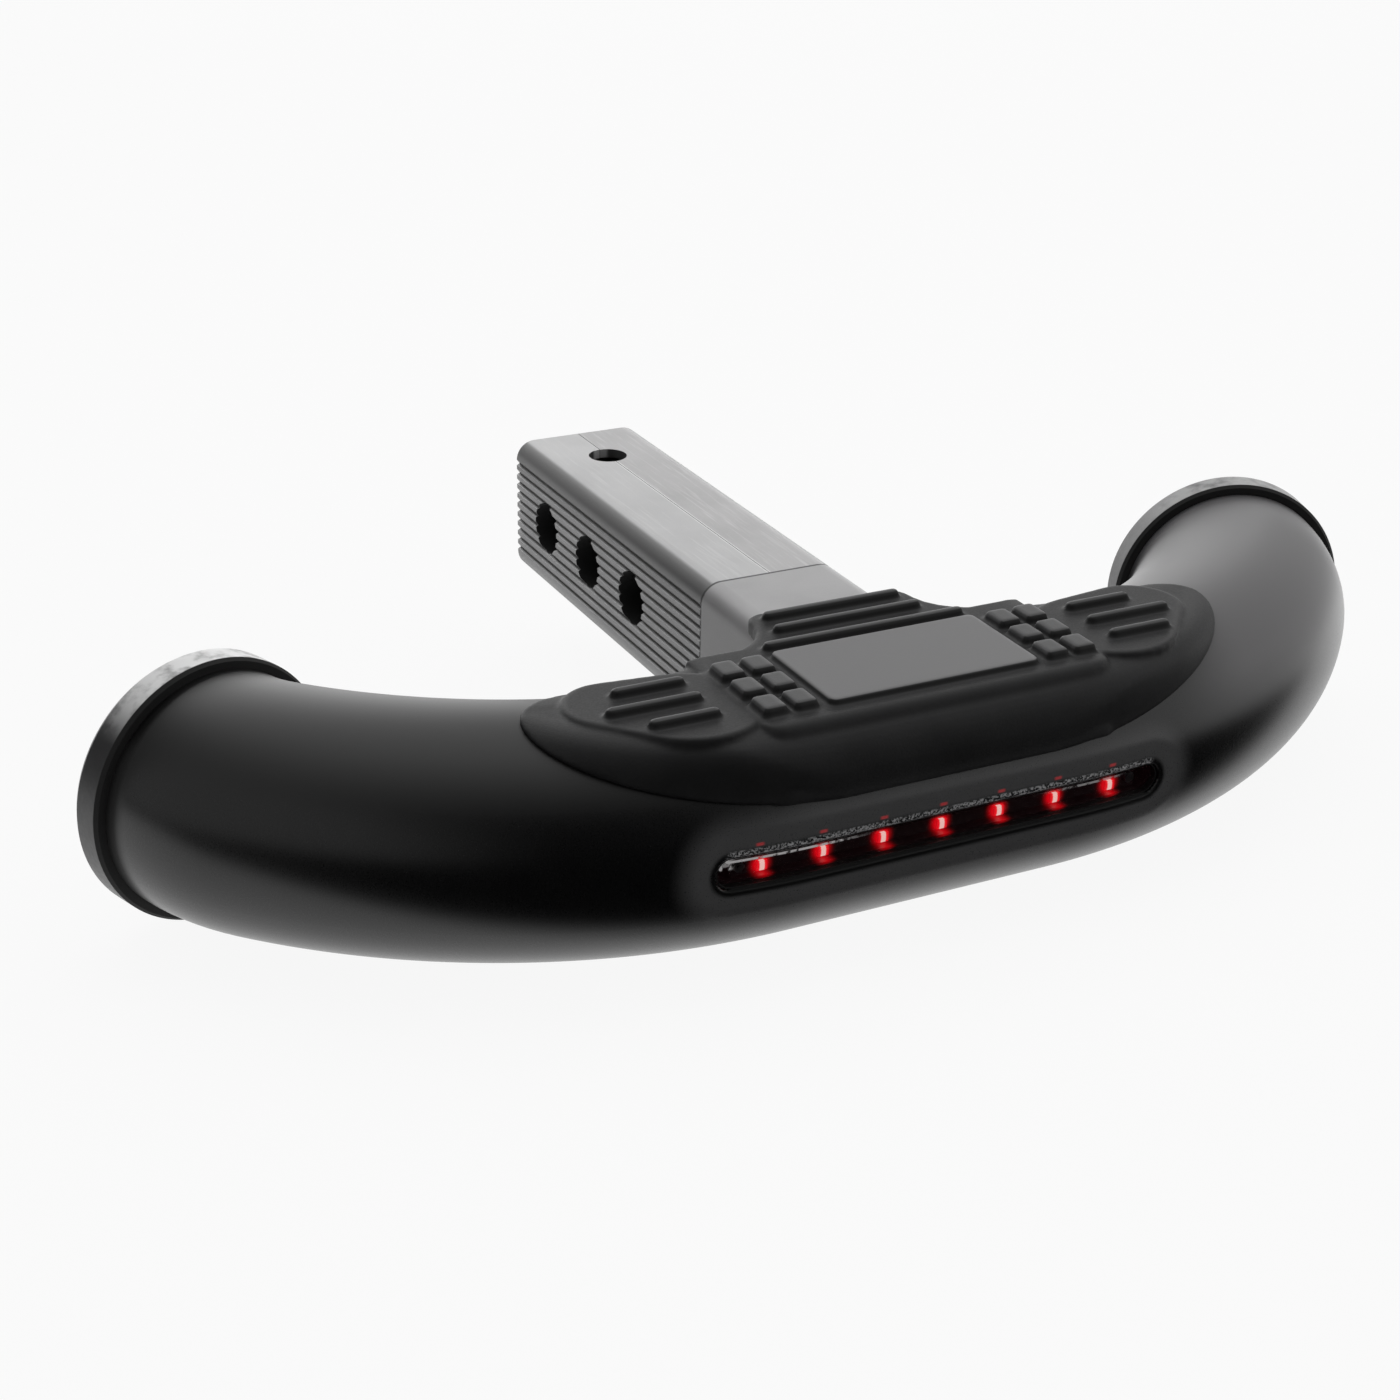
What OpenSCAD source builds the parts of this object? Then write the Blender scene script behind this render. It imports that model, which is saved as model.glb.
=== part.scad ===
// Hitch receiver step: bent step tube with a rubber tread pad, a lamp bar in its
// front face, end caps and a square shank in a ribbed two-part adapter sleeve.
// Millimetres. X runs across the vehicle, +Y towards the vehicle, Z up.
// The origin is on the middle pin hole, at the centre of the shank.

/* [Step tube] */
// Outside diameter of the step tube
tube_d = 76.2; // [70:0.1:84]
// Wall of the step tube
tube_wall = 2.5; // [1.5:0.1:4]
// Half length of the straight middle stretch
straight_half = 45; // [35:1:60]
// Radius of the main bend, at the tube's middle
bend_r = 180; // [150:1:220]
// Angle of the main bend
bend_angle = 47; // [35:1:55]
// Radius of the tighter bend next to the cap
end_bend_r = 50; // [47:1:70]
// Angle of the tighter bend
end_bend_angle = 24; // [12:1:30]
// Length of the turned-down spigot inside the cap
tail_l = 9; // [6:0.5:14]

/* [End caps] */
// Outside diameter of the cap's rim
cap_d = 83; // [80:0.5:92]
// Width of the cap's rim along the tube
cap_w = 12.4; // [10:0.1:18]
// Wall of the cap's plug and the web of its rim
cap_wall = 2.4; // [1.5:0.1:4]
// Length of the plug inside the tube
plug_l = 16; // [8:1:30]

/* [Shank] */
// Side of the square steel shank bar
bar_side = 31.75; // [28:0.05:34]
// Wall of the shank bar
bar_wall = 4.8; // [3:0.1:7]
// Height of the shank's centre over the tube's centre
shank_rise = 13; // [6:0.5:16]
// Distance from the tube's centre to the middle pin hole
pin_reach = 168; // [150:1:200]
// Distance between pin holes
pin_pitch = 36.5; // [30:0.5:45]
// Diameter of the pin holes in the bar
pin_d = 16.7; // [13:0.1:18]
// Distance from the rear pin hole to the end of the sleeve
pin_to_end = 27; // [20:0.5:40]
// Corner radius of the bar
bar_corner = 3; // [1:0.5:6]
// Leg of the weld between bar and tube
weld_leg = 4; // [2:0.5:6]

/* [Adapter sleeve] */
// Side of the sleeve, which fits a two inch receiver
sleeve_side = 50; // [48:0.1:50.8]
// Corner radius of the sleeve
sleeve_corner = 7; // [4:0.5:9]
// Wall of the sleeve
sleeve_wall = 3.2; // [2.4:0.1:5]
// Diameter of the sleeve's pin holes
sleeve_hole_d = 18.6; // [17:0.1:20]
// Diameter of the hole in the sleeve's top
top_hole_d = 14; // [8:0.5:18]
// Number of grip ridges on each side
ridge_count = 9; // [5:1:11]
// Pitch of the grip ridges
ridge_pitch = 3.7; // [2.5:0.1:4]
// Depth of the grip ridges
ridge_depth = 1.1; // [0.5:0.1:1.8]
// Length of the smooth collar, from the tube's centre to the seam
collar_reach = 78; // [66:1:90]
// Number of webs inside each half
web_count = 5; // [3:1:7]

/* [Tread pad] */
// Thickness of the pad on the tube's crown, at the tips
skin_t = 1.4; // [1:0.1:3]
// Height of the middle deck over the tube's crown
deck_rise = 2.9; // [2.4:0.1:6]
// Half length of the deck
deck_half = 57; // [50:1:64]
// Reach of the deck in front of the tube's centre
deck_front = 30; // [26:0.5:33]
// Reach of the deck behind the tube's centre
deck_rear = 22; // [14:0.5:26]
// Angle of the pad's front edge, from the crown
skirt_angle = 64; // [45:1:75]
// Angle of the pad's rear edge, from the crown
rear_angle = 38; // [20:1:50]
// Half length of the pad
pad_half = 117; // [108:1:124]
// Radius of the pad's tip seen from above
tip_r = 32; // [28:0.5:36]
// Half width of the tongue over the shank
tongue_half = 28.4; // [27:0.1:32]
// Reach of the tongue behind the tube's centre
tongue_reach = 43.5; // [34:0.5:52]
// Size of a tread block across
block_x = 8; // [5:0.1:9]
// Size of a tread block fore and aft
block_y = 10.4; // [6:0.1:12]
// Pitch of the blocks across
block_px = 9.9; // [9.2:0.1:12]
// Pitch of the blocks fore and aft
block_py = 13; // [12.2:0.1:15]
// Height of the blocks
block_h = 2.8; // [1:0.1:4]
// Half width of the raised panel
panel_half = 34.7; // [28:0.1:36]
// Depth of the raised panel
panel_y = 38.4; // [30:0.1:40]
// Height of the raised panel
panel_h = 2; // [1:0.1:4]
// Width of the tread bars
bar_w = 5.6; // [3:0.1:7]
// Height of the tread bars
bar_h = 3; // [1:0.1:4]
// Number of pegs that hold the pad on each side
peg_pairs = 2; // [1:1:2]
// Diameter of the peg's stem
peg_d = 6; // [4:0.1:8]

/* [Lamp bar] */
// Length of the slot in the tube
slot_l = 152; // [120:1:160]
// Height of the slot
slot_h = 10.4; // [9:0.1:14]
// Height of the slot's centre over the tube's centre
slot_rise = 0; // [-4:0.1:6]
// Thickness of the seal round the lamp
seal_t = 0.7; // [0.5:0.1:1.2]
// Depth of the lens's face behind the tube's surface
lens_set = 2.4; // [0.5:0.1:3]
// Depth of the lamp tray behind the board's face
tray_depth = 7.6; // [7:0.1:14]
// Wall of the lamp tray
tray_wall = 1; // [0.8:0.1:1.4]
// Thickness of the lens
lens_t = 1.8; // [1.2:0.1:2.4]
// Thickness of the circuit board
board_t = 1.2; // [0.8:0.1:1.6]
// Room between the lens and the board's face, at the board's ends
board_room = 1.6; // [1.5:0.1:4]
// Number of light-emitting diodes
led_count = 7; // [3:1:7]
// Distance from the board's end to its outer diode
led_end = 9.8; // [8:0.1:12]
// Diameter of the hole that lets the lead out
lead_hole_d = 9; // [6:0.5:12]

/* [Hidden] */
$fn = 96;
// Clearance of a fitted rigid piece
fit = 0.25;
// Clearance of a piece pressed or moulded against another
seat = 0.12;
cut = 40;
R = tube_d / 2;
crown = R;
deck_z = crown + deck_rise;
end_angle = bend_angle + end_bend_angle;
shank_end = pin_reach + pin_pitch + pin_to_end;
sleeve_half = sleeve_side / 2;
bar_half = bar_side / 2;
tube_in = R - tube_wall;
// How much the spigot's wall is turned down on each side
spigot_in = 0.5;
// Thickness of the ribs inside the cap
rib_t = 1.8;
// Centre of the end bend, in the tube's frame
end_cx = straight_half + (bend_r - end_bend_r) * sin(bend_angle);
end_cy = bend_r - (bend_r - end_bend_r) * cos(bend_angle);
// Centre of the tube's cut end
tip_x = end_cx + end_bend_r * sin(end_angle);
tip_y = end_cy - end_bend_r * cos(end_angle);
// Centre of the pad's round tip, seen from above
pad_tip_x = pad_half - tip_r;
pad_tip_y = line_y(pad_tip_x);
pad_top = crown + skin_t;
lobe_z = pad_top + 1.2;
lamp_l = slot_l - 2 * seal_t;
lamp_h = slot_h - 2 * seal_t;
board_h = lamp_h - 2 * tray_wall - 2 * fit;
board_l = lamp_l - lamp_h - 2;
board_y = -R + line_y(board_l / 2) + lens_set + lens_t + board_room;
board_back = board_y + board_t + seat / 2;
tray_back = board_y + tray_depth;
screw_x = (board_l - 5) / 2;
led_pitch = (board_l - 2 * led_end) / (led_count - 1);
led_drop = 1.2;
led_h = 1;
// How far the seal stands proud of the lens
seal_up = 0.2;
// Places of the resistors and the diode on the board's back, in pitches from its middle
resistor_steps = [-2.4, -1.4, 0.6, 1.6];
diode_step = -0.6;
// Distance from the board's end to the terminal
terminal_in = 21.8;
// Reach of the clip's hook past the lamp and its room behind the tube's wall
hook_reach = 4;
hook_room = 1.6;
// Place of the lead's hole along X and its angle from the crown to the back
lead_x = 40;
lead_tilt = 102;
// Gap between the sleeve's two halves
half_gap = 0.2;
// Thickness of the webs inside the sleeve and the gap to the collar
web_t = 2.6;
collar_gap = 0.3;
// How far the pad follows the main bend, in degrees
pad_sweep = 30;
peg_head_d = 12;
peg_head_h = 1.5;
// How far the pegs reach inside the tube's wall
peg_reach_in = 9;
// How far the plug reaches into the bar
plug_in = 14;
// Size of the terminal on the board's back
terminal_size = [7, 4.4, 4];
// Places of the lobes' bars and half their length: [x, y, half]
lobe_bars = [[78.2, 5.6, 12.2], [81.4, -5.9, 15.6], [77.2, -16.2, 11.4]];
block_rows = [1, 0, -1];
tread_mid = -7.2;
panel_mid = -7.5;
peg_reach = [30, 84];

// Shared helpers

// Moves what is drawn in the tube's frame to the part's origin
module placed() {
    translate([0, -pin_reach, -shank_rise]) children();
}

// Both sides
module mirrored() {
    children();
    mirror([1, 0, 0]) children();
}

// How far the tube's centre line has bent back at a distance from the middle
function line_y(x) = abs(x) <= straight_half ? 0
    : bend_r - sqrt(pow(bend_r, 2) - pow(abs(x) - straight_half, 2));

// Draws a section (x = forward of the tube's centre, y = up) along the straight
// stretch and a share of the main bend
module along_middle(angle) {
    rotate([90, 0, -90]) linear_extrude(2 * straight_half, center = true) children();
    mirrored() translate([straight_half, bend_r, 0])
        rotate_extrude(start = -90, angle = angle, $fn = 180) translate([bend_r, 0]) children();
}

// Draws a section along the tighter bends at both ends
module along_ends() {
    coarse = [round(end_cx), round(end_cy), 0];
    mirrored() translate(coarse) translate([end_cx, end_cy, 0] - coarse)
        rotate_extrude(start = bend_angle - 90, angle = end_bend_angle, $fn = 180)
            translate([end_bend_r, 0]) children();
}

module wall_ring(thinner = 0) {
    difference() {
        circle(R - thinner, $fn = 128);
        circle(tube_in + thinner, $fn = 128);
    }
}

// Right end of the tube's bends: local X runs out of the tube
module at_tip() {
    translate([tip_x, tip_y, 0]) rotate([0, 0, end_angle]) children();
}

module rounded_rect(size, r) {
    inner = [size.x - 2 * r, size.y - 2 * r];
    square([size.x, inner.y], center = true);
    square([inner.x, size.y], center = true);
    for (x = [-1, 1], y = [-1, 1])
        translate([x * inner.x / 2, y * inner.y / 2]) circle(r, $fn = 48);
}

// Slot shape with round ends, centred, long side along X
module obround(l, h) {
    square([l - h, h], center = true);
    for (x = [-1, 1]) translate([x * (l - h) / 2, 0]) circle(h / 2);
}

// Prism of a front-view shape, from one depth to another
module from_front(y_near, y_far) {
    translate([0, y_far, 0]) rotate([90, 0, 0]) linear_extrude(y_far - y_near) children();
}

// Prism of a shank section, from one depth to another, on the shank's axis
module on_shank(y_near, y_far) {
    translate([0, 0, shank_rise]) from_front(y_near, y_far) children();
}

// Step tube

module lead_axis() {
    translate([lead_x, 0, 0]) rotate([-lead_tilt, 0, 0]) children();
}

module step_tube() {
    color([0.06, 0.06, 0.065]) placed() difference() {
        union() {
            along_middle(bend_angle) wall_ring();
            along_ends() wall_ring();
            mirrored() at_tip() translate([-1, 0, 0]) rotate([90, 0, 90])
                linear_extrude(tail_l + 1) wall_ring(spigot_in);
        }
        translate([0, 0, slot_rise]) from_front(-cut - R, 0) obround(slot_l, slot_h);
        for (x = peg_xs()) translate([x, line_y(x), 0]) cylinder(h = cut + R, d = peg_d + fit);
        lead_axis() cylinder(h = cut + R, d = lead_hole_d);
    }
}

// End caps

module cap_shape() {
    rim = cap_d / 2;
    outer = R - spigot_in + fit;
    inner = tube_in + spigot_in - fit;
    hub_in = tube_in - 1.2 - cap_wall;
    rib_low = tail_l - plug_l + 0.8;
    boss_r = 5;
    at_tip() rotate([0, 90, 0]) {
        rotate_extrude($fn = 128) polygon([
            [0, cap_w], [rim - 3, cap_w], [rim - 1, cap_w - 0.9], [rim, cap_w - 2.6],
            [rim, 1.2], [rim - 0.9, seat], [outer, seat], [outer, tail_l + seat],
            [inner, tail_l + seat], [inner, 0.5], [tube_in - 1.2, -1],
            [tube_in - 1.2, tail_l - plug_l], [hub_in, tail_l - plug_l],
            [hub_in, cap_w - cap_wall],
            [0, cap_w - cap_wall]
        ]);
        translate([0, 0, rib_low]) {
            cylinder(h = cap_w - cap_wall / 2 - rib_low, r = boss_r);
            for (i = [0:5]) rotate([0, 0, 60 * i + 15]) translate([boss_r - 1, -rib_t / 2, 0])
                cube([hub_in + cap_wall / 2 - boss_r + 1, rib_t, cap_w - cap_wall / 2 - rib_low]);
        }
    }
}

module end_cap_right() {
    color([0.16, 0.16, 0.17]) placed() cap_shape();
}

module end_cap_left() {
    color([0.16, 0.16, 0.17]) placed() mirror([1, 0, 0]) cap_shape();
}

// Shank

module bar_outline(grow = 0) {
    rounded_rect([bar_side + 2 * grow, bar_side + 2 * grow], bar_corner + grow);
}

// Square hollow of the bar
module bar_hollow(shrink = 0) {
    inner = bar_side - 2 * bar_wall - 2 * shrink;
    rounded_rect([inner, inner], 1.5);
}

// Round solid of the tube, used to cope what meets it
module tube_core(r) {
    rotate([0, 90, 0]) cylinder(h = 2 * straight_half, r = r, center = true, $fn = 128);
}

module shank_bar() {
    color([0.1, 0.1, 0.11]) placed() difference() {
        union() {
            on_shank(0, shank_end - 3) bar_outline();
            intersection() {
                on_shank(0, R + weld_leg) bar_outline(weld_leg);
                tube_core(R + weld_leg);
            }
        }
        on_shank(-cut, shank_end + cut) bar_hollow();
        tube_core(R + seat);
        for (y = pin_ys()) translate([0, y, shank_rise]) rotate([0, 90, 0])
            cylinder(h = bar_side + 2 * cut, d = pin_d, center = true, $fn = 64);
    }
}

function pin_ys() = [for (i = [-1, 0, 1]) pin_reach + i * pin_pitch];

module shank_plug() {
    end = shank_end - 3;
    color([0.05, 0.05, 0.05]) placed() {
        on_shank(end + seat, end + 2.2) bar_outline(-0.4);
        difference() {
            on_shank(end - plug_in, end + 1) bar_hollow(seat);
            on_shank(end - cut, end) bar_hollow(2);
        }
    }
}

module shank_collar() {
    color([0.42, 0.42, 0.43]) placed() difference() {
        on_shank(0, collar_reach) rounded_rect([sleeve_side, sleeve_side], sleeve_corner);
        on_shank(-cut, collar_reach - sleeve_wall)
            rounded_rect([sleeve_side - 2 * sleeve_wall, sleeve_side - 2 * sleeve_wall],
                sleeve_corner - sleeve_wall);
        on_shank(-cut, collar_reach + cut) bar_outline(fit);
        tube_core(R + seat);
    }
}

// Adapter sleeve

// Side ridges: a row of V grooves cut in from the left face
module ridge_cuts() {
    for (i = [0:ridge_count]) {
        z = (i - ridge_count / 2) * ridge_pitch;
        polygon([
            [-sleeve_half - 1, z + ridge_pitch * 0.42], [-sleeve_half, z + ridge_pitch * 0.42],
            [-sleeve_half + ridge_depth, z], [-sleeve_half, z - ridge_pitch * 0.16],
            [-sleeve_half - 1, z - ridge_pitch * 0.16]
        ]);
    }
}

module sleeve_outline() {
    difference() {
        rounded_rect([sleeve_side, sleeve_side], sleeve_corner);
        ridge_cuts();
        translate([-half_gap / 2, -sleeve_side]) square([sleeve_side, 2 * sleeve_side]);
    }
}

module sleeve_half_shape() {
    y0 = collar_reach + collar_gap;
    span = shank_end - y0 - web_t;
    difference() {
        union() {
            difference() {
                on_shank(y0, shank_end) sleeve_outline();
                on_shank(y0 - cut, shank_end + cut)
                    rounded_rect([sleeve_side - 2 * sleeve_wall, sleeve_side - 2 * sleeve_wall],
                        sleeve_corner - sleeve_wall);
            }
            for (i = [0:web_count]) {
                y = y0 + i * span / web_count;
                on_shank(y, y + web_t) intersection() {
                    sleeve_outline();
                    square([sleeve_side - sleeve_wall, sleeve_side - sleeve_wall], center = true);
                }
            }
            for (y = pin_ys()) translate([-sleeve_half + sleeve_wall / 2, y, shank_rise])
                rotate([0, 90, 0])
                    cylinder(h = sleeve_half - bar_half - sleeve_wall / 2, d = sleeve_hole_d + 5);
        }
        on_shank(y0 - cut, shank_end + cut) bar_outline(fit);
        for (y = pin_ys()) translate([0, y, shank_rise]) rotate([0, -90, 0])
            cylinder(h = sleeve_side, d = sleeve_hole_d, $fn = 64);
        translate([0, pin_reach + pin_pitch, shank_rise])
            cylinder(h = sleeve_side, d = top_hole_d, $fn = 64);
    }
}

module sleeve_left() {
    color([0.5, 0.5, 0.51]) placed() sleeve_half_shape();
}

module sleeve_right() {
    color([0.46, 0.46, 0.47]) placed() mirror([1, 0, 0]) sleeve_half_shape();
}

// Tread pad

// Section of the pad's body: x forward, y up
module body_section() {
    shoulder_r = 8.5;
    shoulder = [deck_front - 7.5, pad_top - shoulder_r];
    seam = [R * sin(skirt_angle), R * cos(skirt_angle)];
    lip = [seam.x + 2.6, seam.y + 0.8];
    rear = [-R * sin(rear_angle), R * cos(rear_angle)];
    difference() {
        union() {
            intersection() {
                circle(R + 3, $fn = 128);
                polygon([[0, 0], 2 * rear, [rear.x, pad_top], [0, pad_top]]);
            }
            translate(shoulder) circle(shoulder_r, $fn = 64);
            polygon([
                [0, pad_top], [shoulder.x, pad_top], shoulder,
                [shoulder.x + shoulder_r, shoulder.y], lip, seam, [0, seam.y]
            ]);
        }
        circle(R + seat, $fn = 128);
    }
}

// Section of the middle deck: flat top and a rounded nose
module deck_section() {
    nose_r = 3;
    nose = [deck_front - 0.4, deck_z - nose_r];
    difference() {
        union() {
            translate(nose) circle(nose_r, $fn = 48);
            polygon([
                [-deck_rear, deck_z - 9], [-deck_rear, deck_z - 1.2], [-deck_rear + 1.2, deck_z],
                [nose.x, deck_z], nose, [nose.x + nose_r * cos(8), nose.y + nose_r * sin(8)],
                [deck_front + 5.6, deck_z - 17], [deck_front + 6, deck_z - 22],
                [deck_front - 4, deck_z - 22], [0, deck_z - 14]
            ]);
        }
        circle(R + seat, $fn = 128);
    }
}

// How far the pad's front seam has risen at a distance from the middle
function seam_rise(x) = let (t = min(1, max(0, (x - 35) / (pad_half - 35))))
    1 - sqrt(1 - pow(t, 1.55));

// The pad's outline seen from halfway between front and top
module pad_outline() {
    low = (R * cos(skirt_angle) - R * sin(skirt_angle)) * cos(45);
    high = crown * cos(45) - 2;
    steps = 22;
    half = [for (i = [0:steps]) let (x = 35 + (pad_half - 35) * sin(90 * i / steps))
        [x, low + (high - low) * seam_rise(x)]];
    for (s = [-1, 1]) scale([s, 1]) polygon(concat(
        [[0, 3 * R], [0, low]], half, [[pad_half, 3 * R]]
    ));
}

module seam_prism() {
    rotate([45, 0, 0]) translate([0, 0, -2 * R]) linear_extrude(5 * R) pad_outline();
}

// Seen from above: the whole pad, with sloping round tips
module tip_prism() {
    base = -R;
    translate([-pad_tip_x, -3 * R, base]) cube([2 * pad_tip_x, 6 * R, 3 * R]);
    mirrored() translate([pad_tip_x, pad_tip_y, base]) rotate_extrude($fn = 128) polygon([
        [0, 0], [tip_r, 0], [tip_r, R + 33], [tip_r - 1.2, R + 36.2], [tip_r - 4, pad_top + R - 0.7],
        [tip_r - 7, pad_top + R], [0, pad_top + R]
    ]);
}

// Round-ended shape between two circles of different size
module egg(c1, r1, c2, r2) {
    d = c2 - c1;
    a = atan2(d.y, d.x);
    b = acos((r1 - r2) / norm(d));
    translate(c1) circle(r1);
    translate(c2) circle(r2);
    polygon([
        c1 + r1 * [cos(a + b), sin(a + b)], c1 + r1 * [cos(a - b), sin(a - b)],
        c2 + r2 * [cos(a - b), sin(a - b)], c2 + r2 * [cos(a + b), sin(a + b)]
    ]);
}

// Seen from above: one lobe's raised field
module lobe_plan() {
    wide_r = 22.5;
    wide = [deck_half + 14, -6];
    egg(wide, wide_r, [pad_half - 28, 3.4], 15);
    translate([deck_half + 6, wide.y - wide_r]) square([8, 2 * wide_r]);
}

module deck_plan() {
    translate([0, (deck_rear - deck_front) / 2 - 3])
        rounded_rect([2 * deck_half, deck_front + deck_rear + 12], 5);
}

// A rib with round ends and a rounded back, along X
module tread_bar(half, w = bar_w, h = bar_h) {
    intersection() {
        translate([0, 0, -1]) linear_extrude(h + 1) obround(2 * half, w);
        rotate([0, 90, 0]) translate([w * 0.62 - h, 0, 0])
            cylinder(h = 2 * half, r = w * 0.62, center = true, $fn = 48);
    }
}

module tread_block() {
    translate([0, 0, -1]) linear_extrude(block_h + 0.3) rounded_rect([block_x, block_y], 1.3);
    linear_extrude(block_h) rounded_rect([block_x - 1.2, block_y - 1.2], 1);
}

module tongue_plan() {
    flare = 6;
    r = 5;
    difference() {
        union() {
            translate([-tongue_half, 0]) square([2 * tongue_half, tongue_reach - r]);
            translate([-tongue_half + r, 0]) square([2 * (tongue_half - r), tongue_reach]);
            for (s = [-1, 1]) translate([s * (tongue_half - r), tongue_reach - r]) circle(r, $fn = 48);
            translate([-tongue_half - flare, 0]) square([2 * (tongue_half + flare), deck_rear + flare]);
        }
        for (s = [-1, 1]) translate([s * (tongue_half + flare), deck_rear + flare])
            circle(flare, $fn = 48);
    }
}

module tongue_solid() {
    difference() {
        translate([0, 0, crown - 7]) linear_extrude(deck_rise + 7) tongue_plan();
        tube_core(R + seat);
    }
}

module step_pad() {
    color([0.13, 0.13, 0.14]) placed() difference() {
        union() {
            intersection() {
                along_middle(pad_sweep) body_section();
                seam_prism();
                tip_prism();
            }
            intersection() {
                along_middle(8) deck_section();
                linear_extrude(4 * R) deck_plan();
            }
            mirrored() translate([0, 0, pad_top - 5]) linear_extrude(lobe_z - pad_top + 5)
                lobe_plan();
            tongue_solid();
            // raised panel, blocks and bars
            translate([0, panel_mid, deck_z - 1]) linear_extrude(panel_h + 1)
                rounded_rect([2 * panel_half, panel_y], 2.5);
            for (s = [-1, 1], i = [0, 1], row = block_rows)
                translate([s * (panel_half + 1.7 + block_x / 2 + i * block_px),
                    tread_mid + row * block_py, deck_z]) tread_block();
            translate([0, 16.4, deck_z]) tread_bar(35.4);
            translate([0, 26.8, deck_z]) tread_bar(26.3);
            translate([0, 37, deck_z]) tread_bar(24.7);
            mirrored() for (b = lobe_bars) translate([b.x, b.y, lobe_z])
                tread_bar(b.z, bar_w - 0.8, bar_h - 0.6);
        }
        along_middle(pad_sweep) circle(R + seat, $fn = 128);
        on_shank(0, tongue_reach + cut)
            rounded_rect([sleeve_side + 2 * seat, sleeve_side + 2 * seat], sleeve_corner + seat);
        for (x = peg_xs()) translate([x, line_y(x), 0])
            cylinder(h = crown + peg_head_h + seat, d = peg_head_d + fit);
    }
}

// Pad pegs

function peg_xs() = [for (i = [0:peg_pairs - 1], s = [-1, 1]) s * peg_reach[i]];

module pad_pegs() {
    color([0.2, 0.2, 0.2]) placed() for (x = peg_xs()) translate([x, line_y(x), 0]) {
        translate([0, 0, crown + seat]) cylinder(h = peg_head_h - seat, d = peg_head_d);
        translate([0, 0, tube_in - peg_reach_in])
            cylinder(h = crown + 0.5 - tube_in + peg_reach_in, d = peg_d - 1.4);
        translate([0, 0, tube_in - 0.4]) cylinder(h = crown - tube_in + 0.8, d = peg_d);
        for (k = [0:2]) translate([0, 0, tube_in - 3.2 - k * 2.4])
            cylinder(h = 2, d1 = peg_d - 1.6, d2 = peg_d + 1.2, $fn = 48);
    }
}

// Lamp bar

module lamp_prism(l, h, y_near, y_far) {
    translate([0, 0, slot_rise]) from_front(y_near, y_far) obround(l, h);
}

// What lies inside a given radius round the bent tube
module inside_tube(r) {
    along_middle(22) circle(r, $fn = 128);
}

module light_gasket() {
    color([0.02, 0.02, 0.02]) placed() intersection() {
        difference() {
            lamp_prism(slot_l - seat, slot_h - seat, -R - cut, tray_back - tray_depth);
            lamp_prism(lamp_l + seat, lamp_h + seat, -R - 2 * cut, 0);
        }
        inside_tube(R - lens_set + seal_up);
    }
}

module light_lens() {
    color([0.9, 0.2, 0.2, 0.45]) placed() intersection() {
        difference() {
            lamp_prism(lamp_l, lamp_h, -R - cut, 0);
            inside_tube(R - lens_set - lens_t);
        }
        inside_tube(R - lens_set);
    }
}

module light_housing() {
    boss_l = tray_back - board_y - board_t - seat;
    color([0.03, 0.03, 0.03]) placed() intersection() {
        union() {
            difference() {
                lamp_prism(lamp_l, lamp_h, -R, tray_back);
                lamp_prism(lamp_l - 2 * tray_wall, lamp_h - 2 * tray_wall, -R - cut,
                    tray_back - tray_wall);
            }
            for (s = [-1, 1]) translate([s * screw_x, board_y + board_t + seat, slot_rise])
                rotate([-90, 0, 0]) difference() {
                    cylinder(h = boss_l, d = 5);
                    translate([0, 0, -1]) cylinder(h = boss_l, d = 1.6, $fn = 32);
                }
        }
        inside_tube(R - lens_set - lens_t - seat);
    }
}

module light_board() {
    color([0.05, 0.05, 0.06]) placed() translate([0, 0, slot_rise]) difference() {
        from_front(board_y, board_y + board_t) rounded_rect([board_l, board_h], 0.6);
        for (s = [-1, 1]) translate([s * screw_x, board_y - 1, 0]) rotate([-90, 0, 0])
            cylinder(h = 4, d = 2.3, $fn = 32);
    }
}

module light_leds() {
    color([1, 0.1, 0.1]) placed() for (i = [0:led_count - 1])
        translate([(i - (led_count - 1) / 2) * led_pitch, board_y - seat / 2, slot_rise - led_drop]) {
            translate([-1.8, -led_h, -1.5]) cube([3.6, led_h, 3]);
            translate([0, -led_h - 0.2, 0]) rotate([-90, 0, 0]) cylinder(h = 0.5, d = 2.4, $fn = 32);
        }
}

module light_resistors() {
    color([0.15, 0.15, 0.16]) placed() for (step = resistor_steps)
        translate([step * led_pitch, board_back, slot_rise - 0.8]) cube([3.2, 0.6, 1.6]);
}

module light_diode() {
    color([0.1, 0.1, 0.1]) placed() translate([diode_step * led_pitch, board_back, slot_rise - 1.3])
        cube([4.4, 2.2, 2.6]);
}

module light_terminal() {
    color([0.8, 0.8, 0.75]) placed() translate([board_l / 2 - terminal_in, board_back, slot_rise - 2])
        difference() {
            cube(terminal_size);
            for (x = [1.9, terminal_size.x - 1.9]) translate([x, 1.2, terminal_size.z / 2])
                rotate([-90, 0, 0]) cylinder(h = terminal_size.y, d = 1.6, $fn = 32);
        }
}

module board_screws() {
    color([0.7, 0.7, 0.72]) placed() for (s = [-1, 1])
        translate([s * screw_x, board_y, slot_rise]) rotate([-90, 0, 0]) {
            translate([0, 0, -1 - seat / 2]) cylinder(h = 1, d = 3.4, $fn = 32);
            translate([0, 0, -0.3]) cylinder(h = 5.2, d = 1.5, $fn = 32);
        }
}

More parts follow.
